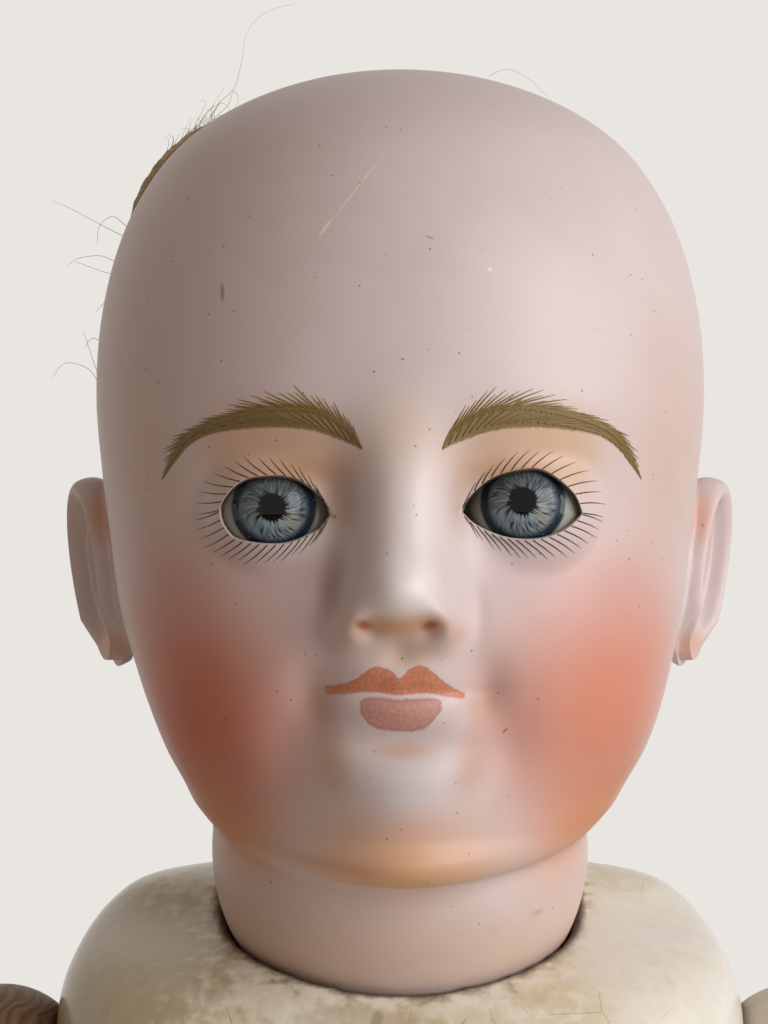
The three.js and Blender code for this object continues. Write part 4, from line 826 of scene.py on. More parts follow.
# ragged circles: the pupil, the dark blue rim of the iris and the white beyond it
ragged = add(tree, "Math", [threads, 0.5], operation="SUBTRACT")
# the white is darker towards the top: painted shade under the upper lid
white = add(tree, "MapRange", {"Value": flat["Y"], "From Min": -3.0, "From Max": 4.5})
white = add(tree, "Mix", {0: white, "A": linear("#AAADA4"), "B": linear("#71736A")}, data_type="RGBA")
for inner, outer, unevenness, tint in (
    (1.7, 2.3, 2.8, "#0B0D0E"), (iris_radius - 1.5, iris_radius - 0.5, 1.2, "#22303F"),
    (iris_radius - 0.1, iris_radius + 0.35, 0.0, None)
):
    edge = add(tree, "Math", [ragged, unevenness, radius], operation="MULTIPLY_ADD")
    step = add(
        tree, "MapRange", {"Value": edge, "From Min": inner, "From Max": outer},
        interpolation_type="SMOOTHSTEP"
    )
    inside, outside = (linear(tint), colour) if inner < 2 else (colour, linear(tint) if tint else white)
    colour = add(tree, "Mix", {0: step, "A": inside, "B": outside}, data_type="RGBA")
hole = add(
    tree, "MapRange", {"Value": radius, "From Min": pupil_radius - 0.1, "From Max": pupil_radius + 0.08}
)
colour = add(tree, "Mix", {0: hole, "A": linear("#050506"), "B": colour}, data_type="RGBA")
# tiny bubbles caught under the dome
bubbles = add(tree, "TexVoronoi", {"Vector": spot, "Scale": 1.1})
bubble = add(tree, "Math", [bubbles.outputs["Distance"], 0.07], operation="LESS_THAN")
bubble = add(tree, "Math", [bubble, 0.5], operation="MULTIPLY")
colour = add(tree, "Mix", {0: bubble, "A": colour, "B": linear("#C9D2D4")}, data_type="RGBA")
shader = add(
    tree, "BsdfPrincipled",
    {
        "Base Color": colour, "Roughness": 0.5, "Specular IOR Level": 0.0, "Coat Weight": 1.0,
        "Coat Roughness": 0.03, "Coat IOR": 1.32
    }
)
add(tree, "OutputMaterial", {"Surface": shader})

dome_forward = eye_radius + cornea_rise - cornea_radius
for side in (-1, 1):
    lean = np.linspace(math.pi, 0, 90)[1:-1]
    ball_away = eye_radius - glass_clearance
    dome_away = dome_forward * np.cos(lean) + np.sqrt(
        np.maximum((cornea_radius - glass_clearance) ** 2 - (dome_forward * np.sin(lean)) ** 2, 0)
    )
    blend = dome_blend
    away = blend * np.logaddexp(ball_away / blend, dome_away / blend) - blend * math.log(2) * (
        np.abs(dome_away - ball_away) < blend
    )
    away = np.where(dome_away > ball_away, np.minimum(away, dome_away), np.minimum(away, ball_away))
    rings = turned_ring(np.stack([away * np.sin(lean), away * np.cos(lean)], -1), 96)
    gaze = Vector((iris_shift[side][0], -eye_radius, iris_shift[side][1])).normalized()
    across = Vector((1, 0, 0)) - gaze * gaze.x
    across.normalize()
    basis = np.array([across, gaze.cross(across), gaze])
    eye_name = f"{'left' if side > 0 else 'right'}_eye"
    eye = loft(f"{eye_name}_glass", rings @ basis + eye_places[side], neck_pivot)
    local = (points_of(eye) - neck_pivot) / millimetre - eye_places[side]
    keep_uv(eye, local @ basis[:2].T / uv_field_mm + 0.5)
    smooth_shading(eye)
    eye.data.materials.append(glass)
    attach(eye, "head")
    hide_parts(eye_name)

# Lashes and the feathering of the brows: single strokes of china paint, pulled with a fine
# long haired brush from the lid's edge outwards, or up along the brow, and fired with the rest.
lash_paint = "#2B211F"
brow_paint = "#7E6937"
lash_width = 0.17
lid_line_width = 0.3
lid_line_sunk = 0.3
brow_stroke_width = 0.3
lash_off_edge = 0.25
# Along the lid from the inner corner: the stroke's lean above level in degrees and its length
upper_lash_leans = [
    (0.0, 62, 2.3), (0.2, 58, 3.0), (0.45, 45, 3.5), (0.62, 30, 3.8), (0.78, 12, 4.1), (0.9, 2, 3.8),
    (1.0, -9, 3.5)
]
lower_lash_leans = [(0.0, -17, 3.6), (0.2, -27, 4.0), (0.45, -37, 4.0), (0.7, -46, 3.7), (1.0, -58, 3.1)]
# Along the brow from its inner end: the same
brow_leans = [
    (0, 68, 3.0),
    (0.05, 63, 4.2),
    (0.12, 53, 5.2),
    (0.2, 38, 5.8),
    (0.28, 21, 6.0),
    (0.39, 8, 6.0),
    (0.5, -1, 5.8),
    (0.62, -9, 5.6),
    (0.76, -21, 4.8),
    (0.85, -37, 3.4),
    (0.93, -50, 2.2),
    (1, -58, 1.2),
]


def empty_group(name, inputs):
    """A Geometry Nodes tree with named inputs, and their sockets."""
    tree = bpy.data.node_groups.new(name, "GeometryNodeTree")
    for label, kind in (
        ("Geometry", "Geometry"), *inputs, ("Width", "Float"), ("Seed", "Int"), ("Material", "Material")
    ):
        tree.interface.new_socket(label, in_out="INPUT", socket_type=f"NodeSocket{kind}")
    tree.interface.new_socket("Geometry", in_out="OUTPUT", socket_type="NodeSocketGeometry")
    return tree, add(tree, "NodeGroupInput").outputs


def strands(tree, roots, points, chance_kind, chance_range, seed):
    """Sets a line on each root and gives back the lines, the way along them, their root and luck."""
    line = add(tree, "GeometryNodeCurvePrimitiveLine", {"Start": (0, 0, 0), "End": (1, 0, 0)})
    line = add(tree, "GeometryNodeResampleCurve", {"Curve": line, "Count": points})
    each = add(tree, "GeometryNodeInstanceOnPoints", {"Points": roots, "Instance": line})
    varied = {
        "Min": chance_range[0], "Max": chance_range[1], "ID": add(tree, "GeometryNodeInputIndex"),
        "Seed": seed
    }
    root = add(tree, "GeometryNodeInputPosition")
    chance = add(tree, "FunctionNodeRandomValue", varied, data_type=chance_kind)
    for name, value, kind in (("root", root, "FLOAT_VECTOR"), ("chance", chance, chance_kind)):
        kept = {"Geometry": each, "Name": name, "Value": value}
        each = add(tree, "GeometryNodeStoreNamedAttribute", kept, data_type=kind, domain="INSTANCE")
    lines = add(tree, "GeometryNodeRealizeInstances", {"Geometry": each})
    along = add(tree, "GeometryNodeSplineParameter")
    start = add(tree, "GeometryNodeInputNamedAttribute", {"Name": "root"}, data_type="FLOAT_VECTOR")
    luck = add(tree, "GeometryNodeInputNamedAttribute", {"Name": "chance"}, data_type=chance_kind)
    return lines, along, start, luck


def bodies(tree, lines, radius, sides, material):
    """Gives lines a round body as thick as the radius says, and ends the tree."""
    outline = add(tree, "GeometryNodeCurvePrimitiveCircle", {"Resolution": sides, "Radius": 1.0})
    skin = {"Curve": lines, "Profile Curve": outline, "Scale": radius, "Fill Caps": True}
    body = add(tree, "GeometryNodeCurveToMesh", skin)
    body = add(tree, "GeometryNodeRealizeInstances", {"Geometry": body})
    body = add(tree, "GeometryNodeSetMaterial", {"Geometry": body, "Material": material})
    add(tree, "NodeGroupOutput", {"Geometry": body})


def stroke_tree():
    """Sets strokes along a guide line, lays them on a surface and gives them a tapered body."""
    inputs = (("Count", "Int"), ("Surface", "Object"), ("Bend", "Float"), ("Unevenness", "Float"))
    tree, given = empty_group("strokes_along_a_line", inputs)
    guide = add(tree, "GeometryNodeMeshToCurve", [given["Geometry"]])
    roots = add(tree, "GeometryNodeResampleCurve", {"Curve": guide, "Count": given["Count"]})
    strokes, along, start, luck = strands(tree, roots, 12, "FLOAT", (-1.0, 1.0), given["Seed"])
    pull = add(tree, "GeometryNodeInputNamedAttribute", {"Name": "stroke"}, data_type="FLOAT_VECTOR")
    reach = add(tree, "Math", [luck, given["Unevenness"], 1.0], operation="MULTIPLY_ADD")
    gone = add(tree, "Math", [along, reach], operation="MULTIPLY")
    straight = add(tree, "VectorMath", {0: pull, "Scale": gone}, operation="SCALE")
    sideways = add(tree, "VectorMath", [pull, (0, 1, 0)], operation="CROSS_PRODUCT")
    phase = add(tree, "Math", [along, math.pi], operation="MULTIPLY")
    wave = add(tree, "Math", [phase], operation="SINE")
    sway = add(tree, "Math", [wave, given["Bend"]], operation="MULTIPLY")
    curl = add(tree, "Math", [luck, 0.4, 1.0], operation="MULTIPLY_ADD")
    sway = add(tree, "Math", [sway, curl], operation="MULTIPLY")
    bent = add(tree, "VectorMath", {0: sideways, "Scale": sway}, operation="SCALE")
    offset = add(tree, "VectorMath", [straight, bent], operation="ADD")
    place = add(tree, "VectorMath", [start, offset], operation="ADD")
    strokes = add(tree, "GeometryNodeSetPosition", {"Geometry": strokes, "Position": place})
    skin = add(tree, "GeometryNodeObjectInfo", {"Object": given["Surface"]}).outputs["Geometry"]
    cast = {"Target Geometry": skin, "Ray Direction": (0, 1, 0), "Ray Length": 1.0}
    hit = add(tree, "GeometryNodeRaycast", cast).outputs["Hit Position"]
    strokes = add(tree, "GeometryNodeSetPosition", {"Geometry": strokes, "Position": hit})
    # the brush lands thin, spreads and lifts off to a hair
    spread = add(tree, "FloatCurve", {"Value": along})
    bend_curve(spread, ((0.0, 0.5), (0.3, 0.5), (1.0, 0.12)))
    radius = add(tree, "Math", [spread, given["Width"]], operation="MULTIPLY")
    bodies(tree, strokes, radius, 6, given["Material"])
    return tree


brush_strokes = stroke_tree()
strokes_ahead_mm = 60.0


def grown(piece, tree, **values):
    """Turns a piece into the plain mesh that a node tree makes of it, with inputs set by name."""
    layer = piece.modifiers.new("grown", "NODES")
    layer.node_group = tree
    inputs = {item.name: item.identifier for item in tree.interface.items_tree if item.in_out == "INPUT"}
    for label, value in values.items():
        layer[inputs[label]] = value
    return settle(piece, keep_materials=True)


def brushed_strokes(name, guide, leans, side, count, width_mm, paint, bend, unevenness):
    """Strokes rooted on a guide line in the face's millimetres, pulled where the leans say."""
    guide = np.array(guide, float)
    step = np.hypot(*np.diff(guide, axis=0).T)
    share = np.concatenate([[0], np.cumsum(step)]) / step.sum()
    lean, length = (
        np.interp(share, [row[0] for row in leans], [row[n] for row in leans])
        for n in (1, 2)
    )
    pull = np.stack(
        [np.cos(np.radians(lean)) * side, 0 * lean, np.sin(np.radians(lean))], -1
    ) * length[:, None]
    points = np.stack([guide[:, 0], 0 * share - strokes_ahead_mm, guide[:, 1]], -1)
    edges = [(i, i + 1) for i in range(len(guide) - 1)]
    piece = mesh_piece(name, points, [], neck_pivot, edges)
    pulls = piece.data.attributes.new("stroke", "FLOAT_VECTOR", "POINT")
    pulls.data.foreach_set("vector", (pull * millimetre).ravel())
    return grown(
        piece,
        brush_strokes,
        Count=count,
        Surface=head,
        Width=width_mm * millimetre,
        Bend=bend,
        Unevenness=unevenness,
        Seed=7 + side,
        Material=paint,
    )


def tube(name, path, radius, origin, sides=8):
    """A round body along a path, as thick at each point as its radius says."""
    path = np.asarray(path, float)
    radius = np.broadcast_to(radius, len(path))
    along = np.gradient(path, axis=0)
    along /= np.linalg.norm(along, axis=1)[:, None]
    across = np.cross(along[0], (0, 0, 1) if abs(along[0][2]) < 0.8 else (0, 1, 0))
    angle = np.linspace(0, 2 * math.pi, sides, endpoint=False)[:, None]
    rings = []
    for place, step, thick in zip(path, along, radius):
        across = across - step * across.dot(step)
        across /= np.linalg.norm(across)
        rings.append(place + thick * (np.cos(angle) * across + np.sin(angle) * np.cross(step, across)))
    return loft(name, rings, origin)


def plain_paint(name, paint, thin_paint):
    """China paint of one pigment, a little thinner in places."""
    material, tree = new_material(name)
    place = add(tree, "TexCoord").outputs["Object"]
    thin = add(tree, "TexNoise", {"Vector": place, "Scale": 1.6 / millimetre, "Detail": 2.0})
    thin = add(tree, "MapRange", {"Value": thin, "From Min": 0.45, "From Max": 0.7, "To Max": 0.5})
    colour = add(tree, "Mix", {0: thin, "A": linear(paint), "B": linear(thin_paint)}, data_type="RGBA")
    shader = add(tree, "BsdfPrincipled", {"Base Color": colour, "Roughness": 0.45})
    add(tree, "OutputMaterial", {"Surface": shader})
    return material


lash_look = plain_paint("brown black china paint of the lashes", lash_paint, "#463833")
brow_look = plain_paint("olive china paint of the brows", brow_paint, "#96793F")
for side, word in ((-1, "right"), (1, "left")):
    outline = openings[side]
    spoke = outline - outline.mean(0)
    spoke /= np.linalg.norm(spoke, axis=1)[:, None]
    edge = (outline + lash_off_edge * spoke) * (side, 1) + eye_places[side][[0, 2]]
    upper_edge, lower_edge = edge[3:65], edge[66:126]
    strokes = [
        brushed_strokes(
            f"{word}_upper_lashes", upper_edge, upper_lash_leans, side, 16, lash_width, lash_look, 0.03,
            0.1
        ),
        brushed_strokes(
            f"{word}_lower_lashes", lower_edge, lower_lash_leans, side, 17, lash_width, lash_look, 0.025,
            0.1
        ),
    ]
    for level, count in ((0.6, 46), (0.2, 30)):
        top = smooth_rows(brow_top, np.linspace(0, len(brow_top) - 1, 60))
        rows = np.array(brow_bottom)
        bottom = np.stack([top[:, 0], np.interp(top[:, 0], rows[:, 0], rows[:, 1])], -1)
        guide = (level * top + (1 - level) * bottom) * (side, 1)
        name = f"{word}_brow_strokes_{count}"
        strokes.append(
            brushed_strokes(name, guide, brow_leans, side, count, brow_stroke_width, brow_look, 0.02, 0.2)
        )
    # the dark line along the lid itself: the painted liner, laid sunk in the gap between lid and glass,
    # where it is partly painted shade
    x, z = (outline[1:64] * (side, 1) + eye_places[side][[0, 2]]).T
    depth = np.array([surface_depth(face_tree, across, up) for across, up in zip(x, z)])
    taper = np.sin(np.linspace(0.15, math.pi - 0.15, len(x))) ** 0.5
    path = np.stack([x, depth + lid_line_sunk, z], -1)
    lid_line = tube(f"{word}_lid_line", path, taper * lid_line_width / 2, neck_pivot)
    lid_line.data.materials.append(lash_look)
    for piece in (*strokes, lid_line):
        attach(piece, "head")

# What is left of the wig: a scab of old amber glue with scraps of its gauze cap on the side of
# the bald crown, a tuft of bleached mohair standing on it, and a few stray hairs.
remnant_middle = (1.0, 101.6)  # back and up, from the neck's middle
remnant_reach = (8.0, 6.6)
remnant_thickness = 1.4
tuft_count = 90
hair_width = 0.1


def side_depth(tree, y, z, side):
    """How far out the head's surface lies at a place seen from the side."""
    start = Vector(neck_pivot) + Vector((side * 0.2, y * millimetre, z * millimetre))
    hit = tree.ray_cast(start, Vector((-side, 0, 0)))[0]
    return (hit.x - neck_pivot[0]) / millimetre


def hair_tree():
    """Scatters roots over a patch and grows a curling, tapered hair from each."""
    inputs = (
        ("Density", "Float"), ("Lowest", "Float"), ("Length", "Float"), ("Lay", "Vector"),
        ("Curl", "Float")
    )
    tree, given = empty_group("curled_hairs", inputs)
    height = add(tree, "SeparateXYZ", [add(tree, "GeometryNodeInputPosition")]).outputs["Z"]
    high_enough = add(tree, "Math", [height, given["Lowest"]], operation="GREATER_THAN")
    thick = add(tree, "Math", [high_enough, given["Density"]], operation="MULTIPLY")
    scatter = {"Mesh": given["Geometry"], "Density": thick, "Seed": given["Seed"]}
    roots = add(tree, "GeometryNodeDistributePointsOnFaces", scatter)
    chance_range = ((-1.0,) * 3, (1.0,) * 3)
    hairs, along, start, luck = strands(tree, roots, 20, "FLOAT_VECTOR", chance_range, given["Seed"])
    lucks = add(tree, "SeparateXYZ", [luck]).outputs
    strewn = add(tree, "VectorMath", {0: luck, "Scale": 0.45}, operation="SCALE")
    heading = add(tree, "VectorMath", [given["Lay"], strewn], operation="ADD")
    longer = add(tree, "Math", [lucks["X"], 0.4, 0.8], operation="MULTIPLY_ADD")
    reach = add(tree, "Math", [longer, given["Length"]], operation="MULTIPLY")
    gone = add(tree, "Math", [reach, along], operation="MULTIPLY")
    straight = add(tree, "VectorMath", {0: heading, "Scale": gone}, operation="SCALE")
    turns = add(tree, "Math", [lucks["Y"], 2.0, 5.0], operation="MULTIPLY_ADD")
    phase = add(tree, "Math", [along, turns], operation="MULTIPLY")
    phase = add(tree, "Math", [lucks["Z"], 3.0, phase], operation="MULTIPLY_ADD")
    swing = [add(tree, "Math", [phase], operation=kind) for kind in ("SINE", "COSINE")]
    circle = add(tree, "CombineXYZ", {"X": swing[0], "Y": swing[1], "Z": swing[0]})
    wide = add(tree, "Math", [along, given["Curl"]], operation="MULTIPLY")
    curled = add(tree, "VectorMath", {0: circle, "Scale": wide}, operation="SCALE")
    offset = add(tree, "VectorMath", [straight, curled], operation="ADD")
    place = add(tree, "VectorMath", [start, offset], operation="ADD")
    hairs = add(tree, "GeometryNodeSetPosition", {"Geometry": hairs, "Position": place})
    taper = add(tree, "MapRange", {"Value": along, "To Min": 0.5, "To Max": 0.15})
    radius = add(tree, "Math", [taper, given["Width"]], operation="MULTIPLY")
    bodies(tree, hairs, radius, 5, given["Material"])
    return tree


glue, tree = new_material("old amber glue with scraps of cotton gauze")
place = add(tree, "TexCoord").outputs["Object"]
blotch = add(tree, "TexNoise", {"Vector": place, "Scale": 0.35 / millimetre, "Detail": 4.0})
colour = add(tree, "Mix", {0: blotch, "A": linear("#8A5F2A"), "B": linear("#C2934C")}, data_type="RGBA")
weft = [
    add(
        tree, "TexWave", {"Vector": place, "Scale": 0.42 / millimetre, "Distortion": 1.5},
        bands_direction=way
    ).outputs["Fac"]
    for way in ("Y", "Z")
]
gauze = add(tree, "Math", [weft[0], weft[1]], operation="MAXIMUM")
shown_gauze = add(tree, "MapRange", {"Value": blotch, "From Min": 0.5, "From Max": 0.62, "To Max": 0.6})
shown_gauze = add(tree, "Math", [shown_gauze, gauze], operation="MULTIPLY")
colour = add(tree, "Mix", {0: shown_gauze, "A": colour, "B": linear("#CDBE9C")}, data_type="RGBA")
relief = add(tree, "Bump", {"Strength": 0.6, "Distance": 0.0003, "Height": gauze})
shader = add(tree, "BsdfPrincipled", {"Base Color": colour, "Roughness": 0.55, "Normal": relief})
add(tree, "OutputMaterial", {"Surface": shader})

mohair, tree = new_material("bleached mohair")
place = add(tree, "TexCoord").outputs["Object"]
faded = add(tree, "TexNoise", {"Vector": place, "Scale": 0.5 / millimetre})
colour = add(tree, "Mix", {0: faded, "A": linear("#C9AE7C"), "B": linear("#EFE6D2")}, data_type="RGBA")
shader = add(tree, "BsdfPrincipled", {"Base Color": colour, "Roughness": 0.4})
add(tree, "OutputMaterial", {"Surface": shader})

head_tree = BVHTree.FromObject(head, bpy.context.evaluated_depsgraph_get())
rings = []
chance = np.random.default_rng(5)
spin = np.linspace(0, 2 * math.pi, 60, endpoint=False)
ragged_rim = 1 + 0.13 * np.sin(3 * spin + 1) + 0.08 * np.sin(7 * spin) + 0.05 * chance.standard_normal(60)
for under in (True, False):
    for share in np.linspace(0.05, 1, 14)[:: 1 if under else -1]:
        y = remnant_middle[0] + remnant_reach[0] * share * ragged_rim * np.cos(spin)
        z = remnant_middle[1] + remnant_reach[1] * share * ragged_rim * np.sin(spin)
        x = np.array([side_depth(head_tree, b, u, -1) for b, u in zip(y, z)])
        lumps = 0.82 + 0.18 * np.sin(1.7 * y + 2 * np.sin(z)) * np.cos(1.3 * z)
        lift = -0.5 if under else remnant_thickness * (1 - 0.85 * share**3) * lumps
        slope = np.array((-0.82, 0.0, 0.57))
        rings.append(np.stack([x, y, z], -1) + slope * np.broadcast_to(lift, x.shape)[:, None])
remnant = loft("wig_remnant_glue", rings, neck_pivot)
remnant.data.materials.append(glue)
smooth_shading(remnant, 60)
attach(remnant, "head")
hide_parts("wig_remnant")
skins = 2  # the scab has an inner and an outer side
patch_mm2 = skins * 3.1 * remnant_reach[0] * remnant_reach[1]
tuft = grown(
    copied(remnant, "mohair_tuft"),
    hair_tree(),
    Density=tuft_count / (patch_mm2 * millimetre**2),
    Lowest=neck_pivot[2] + (remnant_middle[1] + 0.35 * remnant_reach[1]) * millimetre,
    Length=4.2 * millimetre,
    Lay=(0.1, -0.1, 0.8),
    Curl=0.9 * millimetre,
    Width=hair_width * millimetre,
    Seed=3,
    Material=mohair,
)
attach(tuft, "head")

# Stray hairs, each by the points that it passes: across, back and up from the neck's middle
stray_hairs = [
    [
        (-29.8, 4, 108.6), (-27.6, 4, 112.5), (-25.2, 4, 115.0), (-24.0, 4, 119.5), (-23.2, 4, 123.5),
        (-20.5, 4, 126.4), (-16.0, 4, 127.8)
    ],
    [
        (-31.0, 4, 107.9), (-28.9, 4, 109.8), (-26.2, 4, 112.3), (-25.4, 4, 114.4), (-24.6, 4, 113.0),
        (-26.0, 4, 110.6)
    ],
    [(-31.0, 3, 107.6), (-29.4, 3, 111.0), (-26.8, 3, 112.4), (-25.6, 3, 110.8)],
    [(13.6, 5, 116.9), (16.4, 5, 118.0), (19.6, 5, 116.6), (22.6, 5, 113.8)],
    [(-42.4, 6, 92.6), (-46.5, 6, 94.7), (-50.6, 6, 96.9), (-53.2, 6, 98.0)],
    [(-41.8, 6, 94.0), (-44.0, 6, 95.6), (-46.0, 6, 94.2), (-46.4, 6, 91.4)],
    [(-43.4, 7, 88.6), (-46.0, 7, 89.7), (-49.4, 7, 89.3), (-51.0, 7, 88.2)],
    [(-43.8, 7, 86.8), (-46.0, 7, 87.4), (-49.8, 7, 88.8)],
    [(-44.3, 7, 84.2), (-45.4, 7, 82.6), (-46.8, 7, 81.0)],
    [(-46.2, 7, 70.0), (-48.0, 7, 72.4), (-51.4, 7, 73.2), (-53.4, 7, 71.0)],
    [(-46.3, 7, 71.2), (-47.6, 7, 75.0), (-48.6, 7, 78.0)],
    [(-46.0, 7, 76.6), (-47.4, 7, 77.0), (-48.4, 7, 75.6)],
]
for number, points in enumerate(stray_hairs, 1):
    path = smooth_rows(points, np.linspace(0, len(points) - 1, 12 * len(points)))
    taper = np.linspace(hair_width / 2, hair_width / 4, len(path))
    hair = tube(f"stray_hair_{number}", path, taper, neck_pivot, 5)
    hair.data.materials.append(mohair)
    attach(hair, "head")

# Inside the head: a lump of plaster that sets each eye, poured wet and left rough.
plaster_thickness = 4.0
plaster_front_share = 0.2
plaster_back_share = 0.85


def beyond(centre, axis, offset, reach, origin=(0, 0, 0)):
    """Everything on the far side of a plane square to an axis, out to a reach."""
    axis = np.array(axis, float) / np.linalg.norm(axis)
    start = np.array(centre, float) + axis * offset
    return rod("beyond", reach, start, start + axis * reach, origin, 32)


def rounded(piece, voxel_mm, passes):
    """Remeshes a piece evenly and smooths it, which rounds its edges as moulding and paint do."""
    even = piece.modifiers.new("even", "REMESH")
    even.mode = "VOXEL"
    even.voxel_size = voxel_mm * millimetre
    soft = piece.modifiers.new("soft", "SMOOTH")
    soft.factor = 0.5
    soft.iterations = passes
    settle(piece)
    smooth_shading(piece, 60)
    return piece


plaster, tree = new_material("set plaster of Paris")
place = add(tree, "TexCoord").outputs["Object"]
crumbs = add(tree, "TexNoise", {"Vector": place, "Scale": 0.4 / millimetre, "Detail": 5.0})
colour = add(tree, "Mix", {0: crumbs, "A": linear("#C9C0AE"), "B": linear("#EFEADF")}, data_type="RGBA")
relief = add(tree, "Bump", {"Strength": 0.7, "Distance": 0.0006, "Height": crumbs})
shader = add(tree, "BsdfPrincipled", {"Base Color": colour, "Roughness": 0.95, "Normal": relief})
add(tree, "OutputMaterial", {"Surface": shader})
for side, word in ((-1, "right"), (1, "left")):
    lump = ball(f"{word}_eye_setting", eye_radius + plaster_thickness - 0.3, eye_places[side], neck_pivot)
    inside = loft("inside", egg_rings(hollow_places, 64, -bisque_wall - 0.5, False), neck_pivot)
    joined(lump, [inside], "INTERSECT")
    face = beyond(eye_places[side], (0, -1, 0), plaster_front_share * eye_radius, 30, neck_pivot)
    back = beyond(eye_places[side], (0, 1, 0), plaster_back_share * eye_radius, 30, neck_pivot)
    joined(
        lump, [ball("eye_socket", eye_radius + eye_gap, eye_places[side], neck_pivot), face, back],
        "DIFFERENCE"
    )
    rounded(lump, 0.5, 2)
    lump.data.materials.append(plaster)
    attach(lump, "head")
    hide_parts(f"{word}_eye_plaster")

# The neck's fittings: a leather ring lines the bisque bowl, a turned button fills it, and a
# spring under a washer keeps the pull of the cord on an iron hook, whose eye sits on top.
leather_thickness = 1.2
leather_degrees = (14, 47)
button_height = 8.0
hook_wire = 1.0
hook_bend = 4.2
hook_drop = 46.0
spring_radius = 5.0
spring_wire = 0.6
spring_height = 11.0
spring_turns = 5
washer_radius = 7.2
washer_thickness = 1.2
leather_outer = (neck_ball_radius - bisque_wall - eye_gap) * 0.995
button_radius = leather_outer - leather_thickness - eye_gap
button_top = button_height - button_radius


def arc_profile(radius, start_degrees, end_degrees, count):
    """Radius and height along a ball's surface, measured from its lowest point."""
    return [
        (radius * math.sin(a), -radius * math.cos(a))
        for a in np.radians(np.linspace(start_degrees, end_degrees, count))
    ]


def turned(name, profile, sides=96, origin=neck_pivot):
    """A turned piece from a closed profile with a bore through its middle."""
    rings = turned_ring([*profile, profile[0]], sides)
    rows = len(profile)
    row, side = np.meshgrid(np.arange(rows), np.arange(sides), indexing="ij")
    a, b = row * sides + side, row * sides + (side + 1) % sides
    c, d = (row + 1) % rows * sides + (side + 1) % sides, (row + 1) % rows * sides + side
    faces = np.stack([a, b, c, d], -1).reshape(-1, 4).tolist()
    piece = mesh_piece(name, rings[:-1].reshape(-1, 3), faces, origin)
    smooth_shading(piece, 35)
    return piece


low_side, high_side = leather_degrees
ring = [
    *arc_profile(leather_outer, low_side, high_side, 20),
    *arc_profile(leather_outer - leather_thickness, high_side, low_side, 20)
]
lining = turned("neck_lining_leather", ring)
bore = hook_wire + eye_gap
start, end = math.degrees(math.asin(bore / button_radius)), math.degrees(
    math.acos(-button_top / button_radius)
)
bead = 0.5
edge = arc_profile(button_radius, start, end, 24)
rim_radius = edge[-1][0]
button = turned(
    "neck_button_wood",
    [
        *edge[:-1], (rim_radius - 0.15, button_top - 0.2), (rim_radius - bead, button_top),
        (bore + bead, button_top), (bore, button_top - bead)
    ]
)
spring_angle = np.linspace(0, 2 * math.pi * spring_turns, 24 * spring_turns)
spring_base = button_top + eye_gap + spring_wire
climb = (spring_height - 2 * spring_wire) * np.linspace(0, 1, len(spring_angle))
coil = np.stack(
    [spring_radius * np.cos(spring_angle), spring_radius * np.sin(spring_angle), spring_base + climb], -1
)
spring = tube("neck_spring_wire", coil, spring_wire, neck_pivot, 10)
washer_base = button_top + 2 * eye_gap + spring_height
washer_top = washer_base + washer_thickness
bore = hook_wire + 2 * eye_gap
soft = 0.2
washer = turned(
    "spring_washer_iron",
    [
        (bore, washer_base), (washer_radius - soft, washer_base), (washer_radius, washer_base + soft),
        (washer_radius, washer_top - soft), (washer_radius - soft, washer_top), (bore, washer_top)
    ]
)
# The wire of the hook's eye from its end round to the shank, across and up
hook_eye_shares = [
    (-0.5, 0.12), (-0.6, 0.64), (-0.53, 1.09), (-0.24, 1.39), (0.15, 1.43), (0.47, 1.18), (0.6, 0.75),
    (0.33, 0.12), (0, -0.5)
]
eye_base = washer_top + eye_gap + hook_wire
hook_low = -hook_drop
route = [(across * hook_bend, 0, eye_base + up * hook_bend) for across, up in hook_eye_shares]
route += [(0, 0, (eye_base + hook_low) / 2), (0, 0, hook_low + hook_bend / 2)]
route += [
    (0, hook_bend * (math.cos(a) - 1), hook_low - hook_bend * math.sin(a))
    for a in np.linspace(0, math.pi, 7)
]
route += [(0, -2 * hook_bend, hook_low + 0.9 * hook_bend)]
hook = tube(
    "neck_hook_wire", smooth_rows(route, np.linspace(0, len(route) - 1, 200)), hook_wire, neck_pivot, 16
)

leather, tree = new_material("vegetable tanned leather, worn brown")
place = add(tree, "TexCoord").outputs["Object"]
pores = add(tree, "TexVoronoi", {"Vector": place, "Scale": 1.1 / millimetre})
wear = add(tree, "TexNoise", {"Vector": place, "Scale": 0.15 / millimetre, "Detail": 4.0})
colour = add(tree, "Mix", {0: wear, "A": linear("#4E2F1C"), "B": linear("#946342")}, data_type="RGBA")
relief = add(tree, "Bump", {"Strength": 0.4, "Distance": 0.0002, "Height": pores})
shader = add(tree, "BsdfPrincipled", {"Base Color": colour, "Roughness": 0.7, "Normal": relief})
add(tree, "OutputMaterial", {"Surface": shader})


